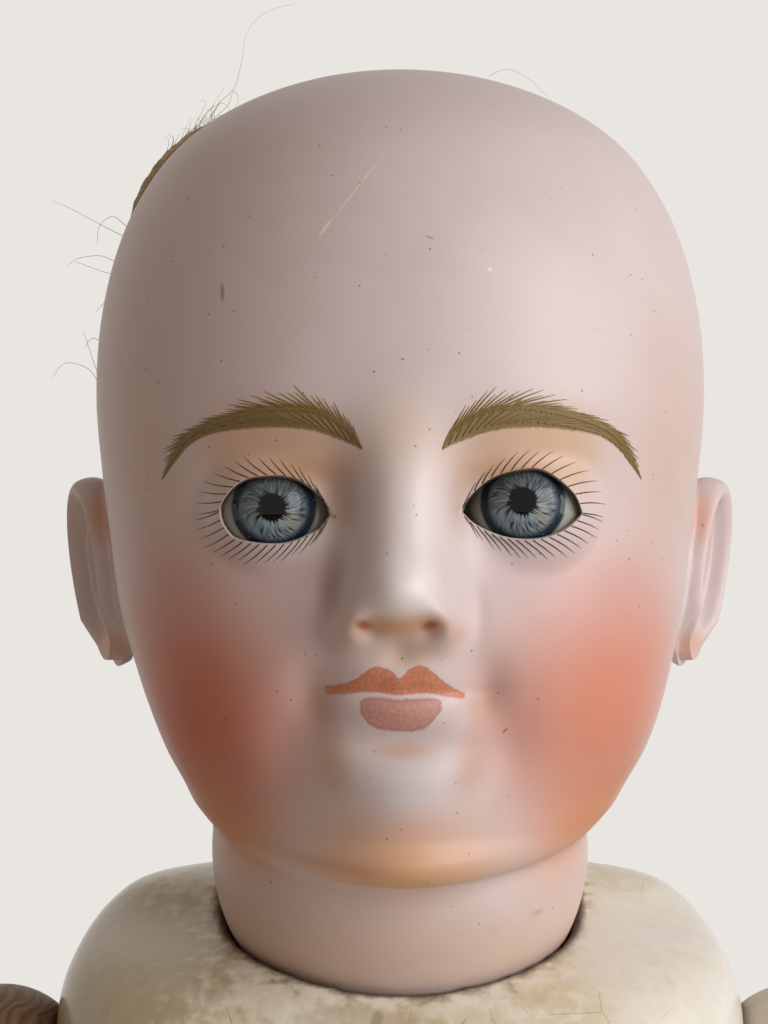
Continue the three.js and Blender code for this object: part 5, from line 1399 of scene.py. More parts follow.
def wood_material(name, dark, pale, roughness, paint=None):
    """Turned wood: grain along the doll's height and the fine rings that the chisel leaves."""
    material, tree = new_material(name)
    place = add(tree, "TexCoord").outputs["Object"]
    stretched = add(tree, "Mapping", {"Vector": place, "Scale": (1, 1, 0.12)})
    warp = add(
        tree, "TexNoise", {"Vector": stretched, "Scale": 0.12 / millimetre, "Detail": 3.0}
    ).outputs["Color"]
    rings = add(tree, "VectorMath", [warp, (0.01, 0.01, 0.01), stretched], operation="MULTIPLY_ADD")
    grain = add(
        tree, "TexWave", {"Vector": rings, "Scale": 0.16 / millimetre, "Distortion": 2.0, "Detail": 3.0}
    ).outputs["Fac"]
    fibres = add(tree, "TexNoise", {"Vector": stretched, "Scale": 2.2 / millimetre, "Detail": 2.0})
    mixed = add(tree, "Math", [fibres, 0.45, grain], operation="MULTIPLY_ADD")
    share = add(tree, "MapRange", {"Value": mixed, "From Min": 0.1, "From Max": 1.2})
    colour = add(tree, "Mix", {0: share, "A": linear(dark), "B": linear(pale)}, data_type="RGBA")
    if paint:
        # more of it is left on the doll's left side, and scraps on its right. This is worn paint and
        # also painted light and shade: pale on the side towards the window, dark bare wood away from it
        patches = add(tree, "TexNoise", {"Vector": place, "Scale": 0.1 / millimetre, "Detail": 6.0})
        across = add(tree, "SeparateXYZ", [place]).outputs["X"]
        left_on = add(tree, "Math", [across, 4.0, patches], operation="MULTIPLY_ADD")
        left_on = add(tree, "MapRange", {"Value": left_on, "From Min": 0.47, "From Max": 0.5})
        colour = add(tree, "Mix", {0: left_on, "A": colour, "B": linear(paint)}, data_type="RGBA")
    chisel = add(
        tree, "TexWave", {"Vector": place, "Scale": 0.5 / millimetre, "Distortion": 0.3},
        bands_direction="Z"
    ).outputs["Fac"]
    relief = add(tree, "Bump", {"Strength": 0.25, "Distance": 0.0001, "Height": chisel})
    shader = add(tree, "BsdfPrincipled", {"Base Color": colour, "Roughness": roughness, "Normal": relief})
    add(tree, "OutputMaterial", {"Surface": shader})
    return material


button_wood = wood_material("turned beech of the neck's button", "#6E4826", "#A87A4B", 0.6)
iron, tree = new_material("drawn iron wire, browned with rust")
place = add(tree, "TexCoord").outputs["Object"]
rust = add(
    tree, "TexNoise", {"Vector": place, "Scale": 0.45 / millimetre, "Detail": 5.0, "Roughness": 0.65}
)
rust = add(tree, "MapRange", {"Value": rust, "From Min": 0.45, "From Max": 0.62})
colour = add(tree, "Mix", {0: rust, "A": linear("#6A655E"), "B": linear("#64391F")}, data_type="RGBA")
metal = add(tree, "MapRange", {"Value": rust, "To Min": 0.9, "To Max": 0.1})
rough = add(tree, "MapRange", {"Value": rust, "To Min": 0.4, "To Max": 0.85})
relief = add(tree, "Bump", {"Strength": 0.4, "Distance": 0.0001, "Height": rust})
shader = add(
    tree, "BsdfPrincipled",
    {"Base Color": colour, "Metallic": metal, "Roughness": rough, "Normal": relief}
)
add(tree, "OutputMaterial", {"Surface": shader})

for piece, body, node, material, slot in (
    (lining, "head", "neck_leather", leather, "leather"),
    (button, "neck_swivel", "neck_button", button_wood, "button_wood"),
    (spring, "neck_fitting", "neck_spring", iron, "iron_wire"),
    (washer, "neck_fitting", "spring_washer", iron, "iron_wire"),
    (hook, "neck_fitting", "neck_hook", iron, "iron_wire"),
):
    piece.data.materials.append(material)
    smooth_shading(piece, 40)
    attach(piece, body)
    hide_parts(node)

# The torso: two moulded halves of composition, glued along the sides under the varnish. It
# is hollow, with a cup for the neck, the shoulders and the hips.
torso_height = 181.0
torso_half_width = 51.4
torso_half_depth = 35.0
torso_wall = 4.0
crotch_half_width = 6.0
neck_passage_radius = 14.0
running_gap = 0.4
cup_wall = 2.5
seam_gap = 0.3
glued_gap = 0.02  # the glue line between the halves, filled by the varnish
shoulder_ball_radius = 13.0
hip_ball_radius = 15.0
shoulder_from_neck = (60.0, 0.0, -34.0)
hip_from_neck = (25.0, 0.0, -170.0)
arm_cord_bore = 2.1
leg_cord_bore = 4.6
leg_line = (-0.33, 0.33, 0.885)
leg_line_share = 0.86
leg_bore_lean = 5.25

composition, tree = new_material("varnished composition of sawdust, glue and gesso")
place = add(tree, "TexCoord").outputs["Object"]
here = add(tree, "Mapping", {"Vector": place, "Location": centre_mm, "Scale": (1 / millimetre,) * 3})
cloud = add(tree, "TexNoise", {"Vector": here, "Scale": 0.075, "Detail": 4.0, "Roughness": 0.6})
mottle = add(tree, "TexNoise", {"Vector": here, "Scale": 0.42, "Detail": 3.0})
fine = add(tree, "TexNoise", {"Vector": here, "Scale": 2.6, "Detail": 2.0})
colour = add(tree, "MapRange", {"Value": cloud, "From Min": 0.35, "From Max": 0.62})
colour = add(tree, "Mix", {0: colour, "A": linear("#EAE6D8"), "B": linear("#DACFAE")}, data_type="RGBA")
pale = add(tree, "MapRange", {"Value": mottle, "From Min": 0.5, "From Max": 0.68, "To Max": 0.5})
colour = add(tree, "Mix", {0: pale, "A": colour, "B": linear("#F6F4EE")}, data_type="RGBA")
dull = add(tree, "MapRange", {"Value": mottle, "From Min": 0.44, "From Max": 0.3, "To Max": 0.25})
colour = add(tree, "Mix", {0: dull, "A": colour, "B": linear("#A79A80")}, data_type="RGBA")
# age cracks in the varnish, in some places only
cells = add(
    tree, "TexVoronoi", {"Vector": here, "Scale": 0.11, "Randomness": 1.0}, feature="DISTANCE_TO_EDGE"
)
crack = add(
    tree, "MapRange", {"Value": cells, "From Min": 0.002, "From Max": 0.012, "To Min": 0.5, "To Max": 0.0}
)
where_cracked = add(tree, "MapRange", {"Value": cloud, "From Min": 0.52, "From Max": 0.6})
crack = add(tree, "Math", [crack, where_cracked], operation="MULTIPLY")
colour = add(tree, "Mix", {0: crack, "A": colour, "B": linear("#7B6C55")}, data_type="RGBA")
# grey grime where the bisque neck has rubbed in its socket
from_neck = add(tree, "VectorMath", [here], operation="LENGTH")
smeared = add(tree, "Math", [mottle, 9.0, from_neck], operation="MULTIPLY_ADD")
grime = add(
    tree, "MapRange",
    {"Value": smeared, "From Min": 32.6, "From Max": 35.6, "To Min": 0.85, "To Max": 0.0}
)
colour = add(tree, "Mix", {0: grime, "A": colour, "B": linear("#6E675C")}, data_type="RGBA")
# Place, reach and tilt of the marks on the chest, with their colour and strength
chest_marks = [
    ((0.6, -27.5, -16.9), (4.2, 8, 1.3), 0, "#86908C", 0.95),  # a chip down to the grey ground
    ((-3.4, -30, -20.0), (1.4, 8, 2.2), 8, "#5D564B", 0.6),
    ((30.6, -28, -9.5), (1.2, 9, 2.6), 24, "#6C6253", 0.6),  # nicks at the edge of the collar
    ((24.5, -24, -7.2), (3.0, 9, 1.6), 30, "#75695A", 0.5),
    ((-23.5, -22, -6.0), (3.4, 9, 2.4), -40, "#7A6D5C", 0.6),
    ((31.5, -27, -14.5), (1.2, 9, 2.4), 30, "#8A7C66", 0.5),
    ((44, -8, -16), (26, 34, 16), 0, "#F3F3EE", 0.6),  # painted light: paler on the shoulder that faces the window
    ((-46, -8, -18), (32, 38, 22), 0, "#A89669", 0.7),  # painted shade: darker and yellower on the other shoulder
    ((-6, -30, -22), (15, 12, 7), 0, "#B8A88E", 0.5),
]
for where, reach, tilt, tint, strength in chest_marks:
    turned_mark = {
        "Vector": here, "Location": where, "Rotation": (0, math.radians(tilt), 0), "Scale": reach
    }
    spot = add(tree, "Mapping", turned_mark, vector_type="TEXTURE")
    away = add(tree, "VectorMath", [spot], operation="LENGTH")
    away = add(tree, "Math", [mottle, 0.9, away], operation="MULTIPLY_ADD")
    fade = {"Value": away, "From Min": 0.95, "From Max": 1.35, "To Min": strength, "To Max": 0.0}
    amount = add(tree, "MapRange", fade, interpolation_type="SMOOTHSTEP")
    colour = add(tree, "Mix", {0: amount, "A": colour, "B": linear(tint)}, data_type="RGBA")
raw = add(tree, "Attribute", attribute_name="raw").outputs["Fac"]
pulp = add(tree, "Mix", {0: fine, "A": linear("#2E1F15"), "B": linear("#6B4A31")}, data_type="RGBA")
colour = add(tree, "Mix", {0: raw, "A": colour, "B": pulp}, data_type="RGBA")
varnish = add(tree, "MapRange", {"Value": raw, "To Min": 0.9, "To Max": 0.0})
lumps = add(tree, "Math", [fine, 0.12, mottle], operation="MULTIPLY_ADD")
lumps = add(tree, "Math", [crack, -0.5, lumps], operation="MULTIPLY_ADD")
relief = add(tree, "Bump", {"Strength": 0.35, "Distance": 0.0004, "Height": lumps})
shader = add(
    tree, "BsdfPrincipled",
    {
        "Base Color": colour, "Roughness": 0.5, "Coat Weight": varnish, "Coat Roughness": 0.2,
        "Normal": relief
    }
)
add(tree, "OutputMaterial", {"Surface": shader})

# Height, half width, middle's depth, half depth and squareness, all shares
torso_shares = [
    (0.0, 0.16, 0.09, 0.3, 2.0),
    (0.022, 0.5, 0.15, 0.62, 2.1),
    (0.07, 0.79, 0.09, 0.87, 2.2),
    (0.135, 0.93, 0.05, 0.985, 2.3),
    (0.215, 0.955, 0.01, 1.03, 2.3),
    (0.31, 0.905, -0.07, 1.0, 2.25),
    (0.42, 0.84, -0.15, 0.935, 2.2),
    (0.53, 0.83, -0.12, 0.9, 2.2),
    (0.64, 0.885, -0.03, 0.93, 2.3),
    (0.74, 0.962, 0.02, 0.965, 2.45),
    (0.82, 1.0, 0.045, 0.955, 2.6),
    (0.875, 0.995, 0.09, 0.9, 2.6),
    (0.912, 0.955, 0.18, 0.78, 2.5),
    (0.94, 0.885, 0.4, 0.5, 2.4),
    (0.962, 0.76, 0.46, 0.32, 2.3),
    (0.973, 0.5, 0.51, 0.18, 2.2),
]


def torso_form(name, grown, sides=120, steps_per_row=5):
    """The torso's outside, or its hollow when it is grown by less than nothing."""
    last = len(torso_shares) - 1
    places = np.linspace(0, last, last * steps_per_row + 1)
    up, across, back, deep, power = smooth_rows(torso_shares, places).T[:, :, None]
    half_width = across * torso_half_width + grown * np.minimum(1, 2 * across)
    half_depth = deep * torso_half_depth + grown * np.minimum(1, 2 * deep)
    angle = np.linspace(0, 2 * math.pi, sides, endpoint=False)[None, :]
    x, y = superellipse(angle, half_width, half_depth, power)
    z = (up - 1) * torso_height + grown * (up - 0.5) * 2 + 0 * x
    return loft(name, np.stack([x, y + back * torso_half_depth, z], -1), neck_pivot)


def block(name, low, high, origin):
    """A box between two corners."""
    (x0, y0, z0), (x1, y1, z1) = low, high
    ring = [(x0, y0), (x1, y0), (x1, y1), (x0, y1)]
    return loft(name, [[(x, y, z) for x, y in ring] for z in (z0, z1)], origin)


def mark_raw(piece, places, origin=(0, 0, 0), fade_mm=0.8):
    """Marks the unvarnished pulp inside a piece's cups, as a vertex attribute."""
    co = (points_of(piece) - np.array(origin)) / millimetre
    raw = np.zeros(len(co))
    for centre, radius in places:
        away = np.linalg.norm(co - np.array(centre), axis=1)
        raw = np.maximum(raw, np.clip((radius - away) / fade_mm + 1, 0, 1))
    piece.data.attributes.new("raw", "FLOAT", "POINT").data.foreach_set("value", raw)


def sided(place, side):
    """A place on the doll's left, or its mirror image on the right."""
    return np.array(place, float) * (side, 1, 1)


wide = 2 * torso_half_width
torso = torso_form("torso", 0)
whole = copied(torso, "whole")
joined(torso, [torso_form("torso_hollow", -torso_wall)], "DIFFERENCE")
crotch_low = (-crotch_half_width, -wide, -torso_height - hip_ball_radius)
crotch_high = (crotch_half_width, wide, -torso_height + hip_ball_radius)
closings = [block("crotch", crotch_low, crotch_high, neck_pivot)]
cutters = []
sockets = [((0, 0, 0), neck_ball_radius)]
for side in (-1, 1):
    hip, shoulder, line = (sided(place, side) for place in (hip_from_neck, shoulder_from_neck, leg_line))
    line /= np.linalg.norm(line)
    below = leg_line_share * hip_ball_radius
    plate = rod("leg_plate", wide, hip + line * below, hip + line * (below + torso_wall), neck_pivot, 32)
    near, far = min(0, side * wide), max(0, side * wide)
    own_side = block("own_side", (near, -wide, -3 * torso_height), (far, wide, torso_height), neck_pivot)
    closings.append(joined(plate, [own_side], "INTERSECT"))
    opening = rod("leg_opening", wide, hip + line * (below - wide), hip + line * below, neck_pivot, 32)
    inner, outer = sorted((side * crotch_half_width, side * wide))
    own_leg = block("own_leg", (inner, -wide, -3 * torso_height), (outer, wide, torso_height), neck_pivot)
    cutters.append(joined(opening, [own_leg], "INTERSECT"))
    sockets += [(shoulder, shoulder_ball_radius), (hip, hip_ball_radius)]
    inward = shoulder - (side * 2 * shoulder_ball_radius, 0, 0)
    cutters.append(rod("arm_cord_bore", arm_cord_bore, inward, shoulder, neck_pivot))
    above = hip + (-side * leg_bore_lean, 0, 2 * hip_ball_radius)
    cutters.append(rod("leg_cord_bore", leg_cord_bore, hip, above, neck_pivot))
for centre, radius in sockets:
    closings.append(ball("cup", radius + running_gap + 1.5 * cup_wall, centre, neck_pivot))
    cutters.append(ball("socket", radius + running_gap, centre, neck_pivot))
cutters.append(rod("passage", neck_passage_radius, (0, 0, -40), (0, 0, 0), neck_pivot))
for closing in closings:
    joined(torso, [joined(closing, [copied(whole, "trim")], "INTERSECT")])
joined(torso, cutters, "DIFFERENCE")
rounded(torso, 0.9, 3)
bpy.data.meshes.remove(whole.data)
for facing, word in ((-1, "front"), (1, "back")):
    half = copied(torso, f"torso_{word}_shell")
    low_y, high_y = sorted((facing * glued_gap / 2, facing * wide))
    kept = block("half", (-wide, low_y, -3 * torso_height), (wide, high_y, torso_height), neck_pivot)
    joined(half, [kept], "INTERSECT")
    smooth_shading(half, 60)
    mark_raw(half, [(centre, radius + running_gap + 0.5) for centre, radius in sockets], neck_pivot)
    half.data.materials.append(composition)
    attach(half, "torso")
    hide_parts(f"torso_{word}")
bpy.data.meshes.remove(torso.data)

# The joint balls are turned wood, with a slot that the cord swings in as the joint bends.
elbow_ball_radius = 9.6
knee_ball_radius = 11.2
upper_arm_length = 76.0
forearm_length = 62.0
thigh_length = 115.0
knee_height = 132.0
arm_spread_degrees = 10
arm_cord_radius = 1.3
leg_cord_radius = 1.6
slot_room = 1.5
elbow_flex, knee_flex, arm_raise, hip_flex, hip_back, leg_spread = 75, 75, 60, 75, 10, 25

# the balls' worn paint doubles as painted light: pale on the doll's lit left, dark on its shaded right
ball_wood = wood_material("lime wood under worn ivory paint", "#49331F", "#7D5C3C", 0.5, "#DDD8C8")


def fan_slot(radius, half_thickness, from_degrees, to_degrees, endways):
    """A flat fan with a rounded end. Its angles start sideways, or to the back, and turn upwards."""
    reach = radius + 3
    angles = np.radians(np.linspace(from_degrees, to_degrees, 16))
    first = np.array(
        (math.cos(angles[0] - math.pi / 2), math.sin(angles[0] - math.pi / 2))
    ) * half_thickness
    last = np.array(
        (math.cos(angles[-1] + math.pi / 2), math.sin(angles[-1] + math.pi / 2))
    ) * half_thickness
    rim = [np.array((math.cos(a), math.sin(a))) * reach for a in angles]
    outline = [first, rim[0] + first, *rim, rim[-1] + last, last]
    if endways:
        rings = [[(depth, a, z) for a, z in outline] for depth in (-half_thickness, half_thickness)]
    else:
        rings = [[(a, depth, z) for a, z in outline] for depth in (half_thickness, -half_thickness)]
    return loft("fan_slot", rings)


def joint_ball(name, radius, cord_radius, fans, bore):
    """A turned ball about its own middle, slotted and bored for its cord."""
    made = ball(name, radius, (0, 0, 0))
    room = cord_radius + slot_room
    cutters = [fan_slot(radius, room * wider, start, end, endways) for start, end, endways, wider in fans]
    if bore is not None:
        cutters.append(rod("bore", room, (0, 0, 0), np.array(bore) * (radius + 3)))
    joined(made, cutters, "DIFFERENCE")
    return rounded(made, 0.42, 3)


def stand(piece, name, side, centre, lean_degrees):
    """Puts a copy of a left side piece in its place, or its mirror image on the right."""
    made = copied(piece, name)
    turn = Matrix.Rotation(-math.radians(lean_degrees), 4, "Y")
    middle = neck_pivot + np.array(centre) * millimetre
    place = Matrix.Translation(Vector(middle)) @ turn
    made.data.transform(Matrix.Diagonal((side, 1, 1, 1)) @ place)
    if side < 0:
        made.data.flip_normals()
    return made


lean = math.radians(arm_spread_degrees)
down_arm = np.array((math.sin(lean), 0, -math.cos(lean)))
elbow_from_neck = np.array(shoulder_from_neck) + down_arm * upper_arm_length
knee_from_neck = np.array(hip_from_neck) - (0, 0, thigh_length)
inward_bore = (-math.cos(lean), 0, math.sin(lean))
shoulder_fans = [(-90, -90 + arm_raise, False, 1.0)]
elbow_fans = [(90, 90 + elbow_flex, True, 1.0)]
hip_fans = [(90 - hip_back, 90 + hip_flex, True, 1.4), (-90, -90 + leg_spread, False, 1.0)]
knee_fans = [(90 - knee_flex, 90, True, 1.0)]
down = (0, 0, -1)
for joint_name, radius, cord, fans, bore, centre, leaning in (
    (
        "shoulder", shoulder_ball_radius, arm_cord_radius, shoulder_fans, inward_bore, shoulder_from_neck,
        True
    ),
    ("elbow", elbow_ball_radius, arm_cord_radius, elbow_fans, down, elbow_from_neck, True),
    ("hip", hip_ball_radius, leg_cord_radius, hip_fans, None, hip_from_neck, False),
    ("knee", knee_ball_radius, leg_cord_radius, knee_fans, down, knee_from_neck, False),
):
    turned_ball = joint_ball(f"{joint_name}_ball", radius, cord, fans, bore)
    for side, word in ((1, "left"), (-1, "right")):
        name = f"{word}_{joint_name}_wood"
        placed = stand(turned_ball, name, side, centre, arm_spread_degrees if leaning else 0)
        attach(placed, f"{word}_{joint_name}_joint")
        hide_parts(f"{word}_{joint_name}_ball")
        placed.data.materials.append(ball_wood)
    bpy.data.meshes.remove(turned_ball.data)

# The arms: moulded composition tubes, cupped where they hold a ball. The forearm and the
# hand are one piece, with the fingers side by side.
upper_arm_radius = 11.4
forearm_radius = 10.4
wrist_radius = 7.4
cord_room = 0.8
cup_reach_degrees = 70
shoulder_rim_lean = 60
shoulder_rim_turn = 25
shoulder_rim_share = 0.14
eyelet_radius = 3.0
eyelet_wire = 0.9
eyelet_shank = 9.0
anchor_depth = 26.0
hand_length = 43.0
hand_width = 18.0
hand_thickness = 8.5
palm_length_share = 0.52


def outer_cup(radius):
    """The outside of a cup that holds a ball."""
    return radius + running_gap + cup_wall


def cup_offset(radius):
    """How far from its middle a cup is cut open."""
    return outer_cup(radius) * math.cos(math.radians(cup_reach_degrees))


def limb_loft(rows, length, sides=64, rings=60):
    """A limb from rows of place along it and reach sideways, to the front and to the back."""
    table = smooth_rows(rows, np.linspace(len(rows) - 1, 0, rings))
    along, across, front, back = table.T[:, :, None]
    angle = np.linspace(0, 2 * math.pi, sides, endpoint=False)[None, :]
    x = np.sin(angle) * across
    y = -np.cos(angle) * (front + back) / 2 + (back - front) / 2
    return loft("limb", np.stack([x, y, -along * length + 0 * x], -1))


def leaning_cup(flex_degrees, to_back):
    """Which way the upper limb's cup opens, away from the bending side."""
    half = math.radians(flex_degrees / 2) * (1 if to_back else -1)
    return np.array((0, -math.sin(half), -math.cos(half)))


def finger(points, radii, sides=24):
    """A tapering finger through some points, with a rounded end."""
    rows = np.array([(*p, r) for p, r in zip(points, radii)])
    fine = smooth_rows(rows, np.linspace(0, len(rows) - 1, 40))
    path, radius = fine[:, :3], fine[:, 3:]
    along = np.gradient(path, axis=0)
    along /= np.linalg.norm(along, axis=1)[:, None]
    across = np.cross(along, (0, 1, 0))
    across /= np.linalg.norm(across, axis=1)[:, None]
    over = np.cross(along, across)
    angle = np.linspace(0, 2 * math.pi, sides, endpoint=False)[None, :, None]
    rings = path[:, None] + radius[:, None] * (
        np.cos(angle) * across[:, None] + np.sin(angle) * over[:, None]
    )
    return loft("finger", rings)


def anchor_bores(bore):
    """The blind bore that holds a limb's elastic, and the hole for the eyelet's shank."""
    floor = -anchor_depth - eyelet_radius - eyelet_wire - seam_gap
    end = -anchor_depth - eyelet_radius - eyelet_shank - seam_gap
    shank_hole = rod("shank_hole", eyelet_wire + seam_gap, (0, 0, floor + seam_gap), (0, 0, end))
    return [rod("bore", bore, (0, 0, 0), (0, 0, floor)), shank_hole]


def moulded_limb(rows, length, cups, added, cuts, bores, voxel_mm):
    """A limb with cups for its balls, cut open and bored. Its cups are bare pulp inside."""
    limb = limb_loft(rows, length)
    joined(limb, [*(ball("cup", outer_cup(radius), centre) for centre, radius in cups), *added])
    sockets = [ball("socket", radius + running_gap, centre) for centre, radius in cups]
    joined(limb, [*cuts, *sockets, *bores], "DIFFERENCE")
    rounded(limb, voxel_mm, 3)
    mark_raw(limb, [(centre, radius + running_gap + 0.5) for centre, radius in cups])
    return limb


# Place along the palm, half thickness and half width, as shares
palm_shares = [
    (-0.3, 0.72, 0.4), (0.1, 0.6, 0.4), (0.4, 0.56, 0.47), (0.75, 0.52, 0.5), (1.0, 0.42, 0.46)
]
# Place across the palm and length of each finger
finger_shares = [(-0.36, 0.43), (-0.12, 0.5), (0.12, 0.47), (0.36, 0.38)]
finger_bends = [
    (0.0, 0.0, 1.0), (0.45, 0.02, 1.0), (0.8, 0.12, 0.9), (0.95, 0.2, 0.68), (1.0, 0.23, 0.35)
]
thumb_shares = [
    (0.12, -0.3, -0.02, 1.25), (0.4, -0.56, -0.1, 1.2), (0.68, -0.66, -0.2, 1.1),
    (0.9, -0.66, -0.28, 0.85), (0.97, -0.65, -0.3, 0.4)
]
finger_radius = hand_width * 0.132
finger_root_share = 0.93


def hand_pieces():
    """The palm, four fingers lying together and a thumb, under the wrist."""
    palm_length = hand_length * palm_length_share
    along, thick, wide_share = smooth_rows(palm_shares, np.linspace(4, 0, 30)).T[:, :, None]
    angle = np.linspace(0, 2 * math.pi, 64, endpoint=False)[None, :]
    x, y = superellipse(angle, thick * hand_thickness, wide_share * hand_width, 2.5)
    pieces = [loft("palm", np.stack([x, y, -forearm_length - along * palm_length + 0 * x], -1))]
    for across, long in finger_shares:
        reach = long * hand_length
        root = np.array((0, across * hand_width, -forearm_length - palm_length * finger_root_share))
        points = [
            root + (-bend * reach, across * down * finger_radius, -down * reach)
            for down, bend, _ in finger_bends
        ]
        pieces.append(finger(points, [thick * finger_radius for *_, thick in finger_bends]))
    points = [
        (inward * hand_width, forward * hand_width, -forearm_length - down * palm_length)
        for down, forward, inward, _ in thumb_shares
    ]
    pieces.append(finger(points, [thick * finger_radius for *_, thick in thumb_shares]))
    return pieces


top, low = outer_cup(shoulder_ball_radius), outer_cup(elbow_ball_radius)
elbow = (0, 0, -upper_arm_length)
r = upper_arm_radius
upper_arm_rows = [
    (0.1, top * 0.9, top * 0.94, top * 0.94),
    (0.3, r, r * 1.08, r * 1.04),
    (0.55, r * 0.94, r * 1.02, r),
    (0.78, r * 0.9, r * 0.92, r * 0.95),
    (0.97, low * 0.97, low * 0.97, low * 0.97),
]
rim = Matrix.Rotation(-math.radians(shoulder_rim_lean), 3, "Y") @ Vector((0, 0, 1))
rim = Matrix.Rotation(math.radians(shoulder_rim_turn), 3, "Z") @ rim
rim = Matrix.Rotation(math.radians(arm_spread_degrees), 3, "Y") @ rim
arm_cuts = [
    beyond((0, 0, 0), rim, -top * shoulder_rim_share, 3 * top),
    beyond(elbow, leaning_cup(elbow_flex, True), -cup_offset(elbow_ball_radius), 3 * low),
]
arm_bore = [rod("bore", arm_cord_radius + cord_room, (0, 0, 0), elbow)]
arm_cups = [((0, 0, 0), shoulder_ball_radius), (elbow, elbow_ball_radius)]
upper_arm = moulded_limb(upper_arm_rows, upper_arm_length, arm_cups, [], arm_cuts, arm_bore, 0.6)

r, w = forearm_radius, wrist_radius
forearm_rows = [
    (0.08, low * 0.97, low * 0.97, low * 0.97),
    (0.3, r, r * 1.05, r),
    (0.62, r * 0.86, r * 0.92, r * 0.88),
    (0.86, w * 1.02, w * 1.04, w),
    (1.02, w * 0.94, w * 1.02, w),
]
hand = hand_pieces()
blind_bores = anchor_bores(eyelet_radius + eyelet_wire + seam_gap)
forearm_cut = [beyond((0, 0, 0), (0, 0, 1), -cup_offset(elbow_ball_radius), 3 * low)]
forearm_cup = [((0, 0, 0), elbow_ball_radius)]
forearm = moulded_limb(forearm_rows, forearm_length, forearm_cup, hand, forearm_cut, blind_bores, 0.5)

# The legs: the same moulded tubes, with a kneecap's cup, a full calf and a bare foot.
thigh_radius = 17.4
calf_radius = 14.2
ankle_radius = 8.6
foot_length = 60.0
foot_width = 25.0
foot_height = 19.0
foot_forward = 9.0
top, low = outer_cup(hip_ball_radius), outer_cup(knee_ball_radius)
knee = (0, 0, -thigh_length)
r = thigh_radius
thigh_rows = [
    (0.1, top * 0.97, top * 0.95, top * 0.97),
    (0.3, r, r, r),
    (0.55, r * 0.93, r * 0.95, r * 0.93),
    (0.8, low * 1.03, low * 1.04, low),
    (0.97, low * 0.98, low * 0.98, low * 0.98),
]
thigh_cuts = [
    beyond((0, 0, 0), (0, 0, 1), -cup_offset(hip_ball_radius), 3 * top),
    beyond(knee, leaning_cup(knee_flex, False), -cup_offset(knee_ball_radius), 3 * low),
]
thigh_bore = [rod("bore", leg_cord_radius + cord_room, (0, 0, 0), knee)]
thigh_cups = [((0, 0, 0), hip_ball_radius), (knee, knee_ball_radius)]
thigh = moulded_limb(thigh_rows, thigh_length, thigh_cups, [], thigh_cuts, thigh_bore, 0.8)

r, w = calf_radius, ankle_radius
lower_leg_rows = [
    (0.04, low * 0.98, low * 0.98, low * 0.98),
    (0.16, r * 0.88, r * 0.9, r * 0.95),
    (0.34, r * 0.97, r * 0.86, r * 1.18),
    (0.54, r * 0.86, r * 0.78, r * 1.02),
    (0.74, w * 1.06, w * 1.1, w * 1.2),
    (0.86, w, w * 1.2, w * 1.25),
    (0.96, w * 0.98, w * 1.2, w * 1.3),
]
# The foot from its heel: place along it, half width and height, all shares
foot_shares = [
    (0.0, 0.28, 0.45),
    (0.05, 0.62, 0.8),
    (0.2, 0.74, 1.0),
    (0.42, 0.72, 0.98),
    (0.62, 0.88, 0.66),
    (0.8, 1.0, 0.5),
    (0.93, 0.86, 0.4),
    (1.0, 0.5, 0.28),
]
along, wide_share, high_share = smooth_rows(foot_shares, np.linspace(0, 7, 50)).T[:, :, None]
angle = math.pi * (np.linspace(0, 1, 49)[None, :] + 0.5)
x, up = superellipse(angle, wide_share * foot_width / 2, high_share * foot_height, 2.4)
y = foot_length / 2 - foot_forward - along * foot_length + 0 * x
foot = loft("foot", np.stack([x, y, -knee_height + np.maximum(up, 0)], -1))
blind_bores = anchor_bores(eyelet_radius + eyelet_wire + seam_gap)
knee_cut = [beyond((0, 0, 0), (0, 0, 1), -cup_offset(knee_ball_radius), 3 * low)]
knee_cup = [((0, 0, 0), knee_ball_radius)]
lower_leg = moulded_limb(lower_leg_rows, knee_height, knee_cup, [foot], knee_cut, blind_bores, 0.7)

for local, body, centre, leaning in (
    (upper_arm, "arm", shoulder_from_neck, True),
    (forearm, "forearm", elbow_from_neck, True),
    (thigh, "thigh", hip_from_neck, False),
    (lower_leg, "lower_leg", knee_from_neck, False),
):
    for side, word in ((1, "left"), (-1, "right")):
        node = f"{word}_{'upper_arm' if body == 'arm' else body}"
        placed = stand(local, f"{node}_moulded", side, centre, arm_spread_degrees if leaning else 0)
        placed.data.materials.append(composition)
        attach(placed, f"{word}_{body}")
        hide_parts(node)
    bpy.data.meshes.remove(local.data)

# The stringing: rubber cord in a braided cotton cover. One cord joins the shoulders, one hangs
# on the neck's hook and splits to the hips, and each limb has its own down to a screw eye.
loop_share = 0.8
arm_cord_bow = 4.0
arm_cord_shares = [(-1, 0), (-0.72, 0), (-0.3, 0.8), (0, 1), (0.3, 0.8), (0.72, 0), (1, 0)]
braid_strands = 6
braid_pitch_mm = 2.4

elastic, tree = new_material("rubber cord in a braided cotton cover")
wound = add(tree, "SeparateXYZ", [add(tree, "TexCoord").outputs["UV"]]).outputs
round_it = add(tree, "Math", [wound["X"], 2 * math.pi * braid_strands], operation="MULTIPLY")
waves = []
for way in (1, -1):
    phase = add(
        tree, "Math", [wound["Y"], way * 2 * math.pi / braid_pitch_mm, round_it], operation="MULTIPLY_ADD"
    )
    waves.append(add(tree, "Math", [phase], operation="SINE"))
braid = add(tree, "Math", [waves[0], waves[1]], operation="MAXIMUM")
braid = add(tree, "MapRange", {"Value": braid, "From Min": -0.6, "From Max": 1.0})
soiled = add(
    tree, "TexNoise",
    {"Vector": add(tree, "TexCoord").outputs["Object"], "Scale": 0.1 / millimetre, "Detail": 3.0}
)
colour = add(tree, "Mix", {0: soiled, "A": linear("#8F815F"), "B": linear("#DCD2B6")}, data_type="RGBA")
colour = add(tree, "Mix", {0: braid, "A": linear("#6F6348"), "B": colour}, data_type="RGBA")
relief = add(tree, "Bump", {"Strength": 0.6, "Distance": 0.00015, "Height": braid})
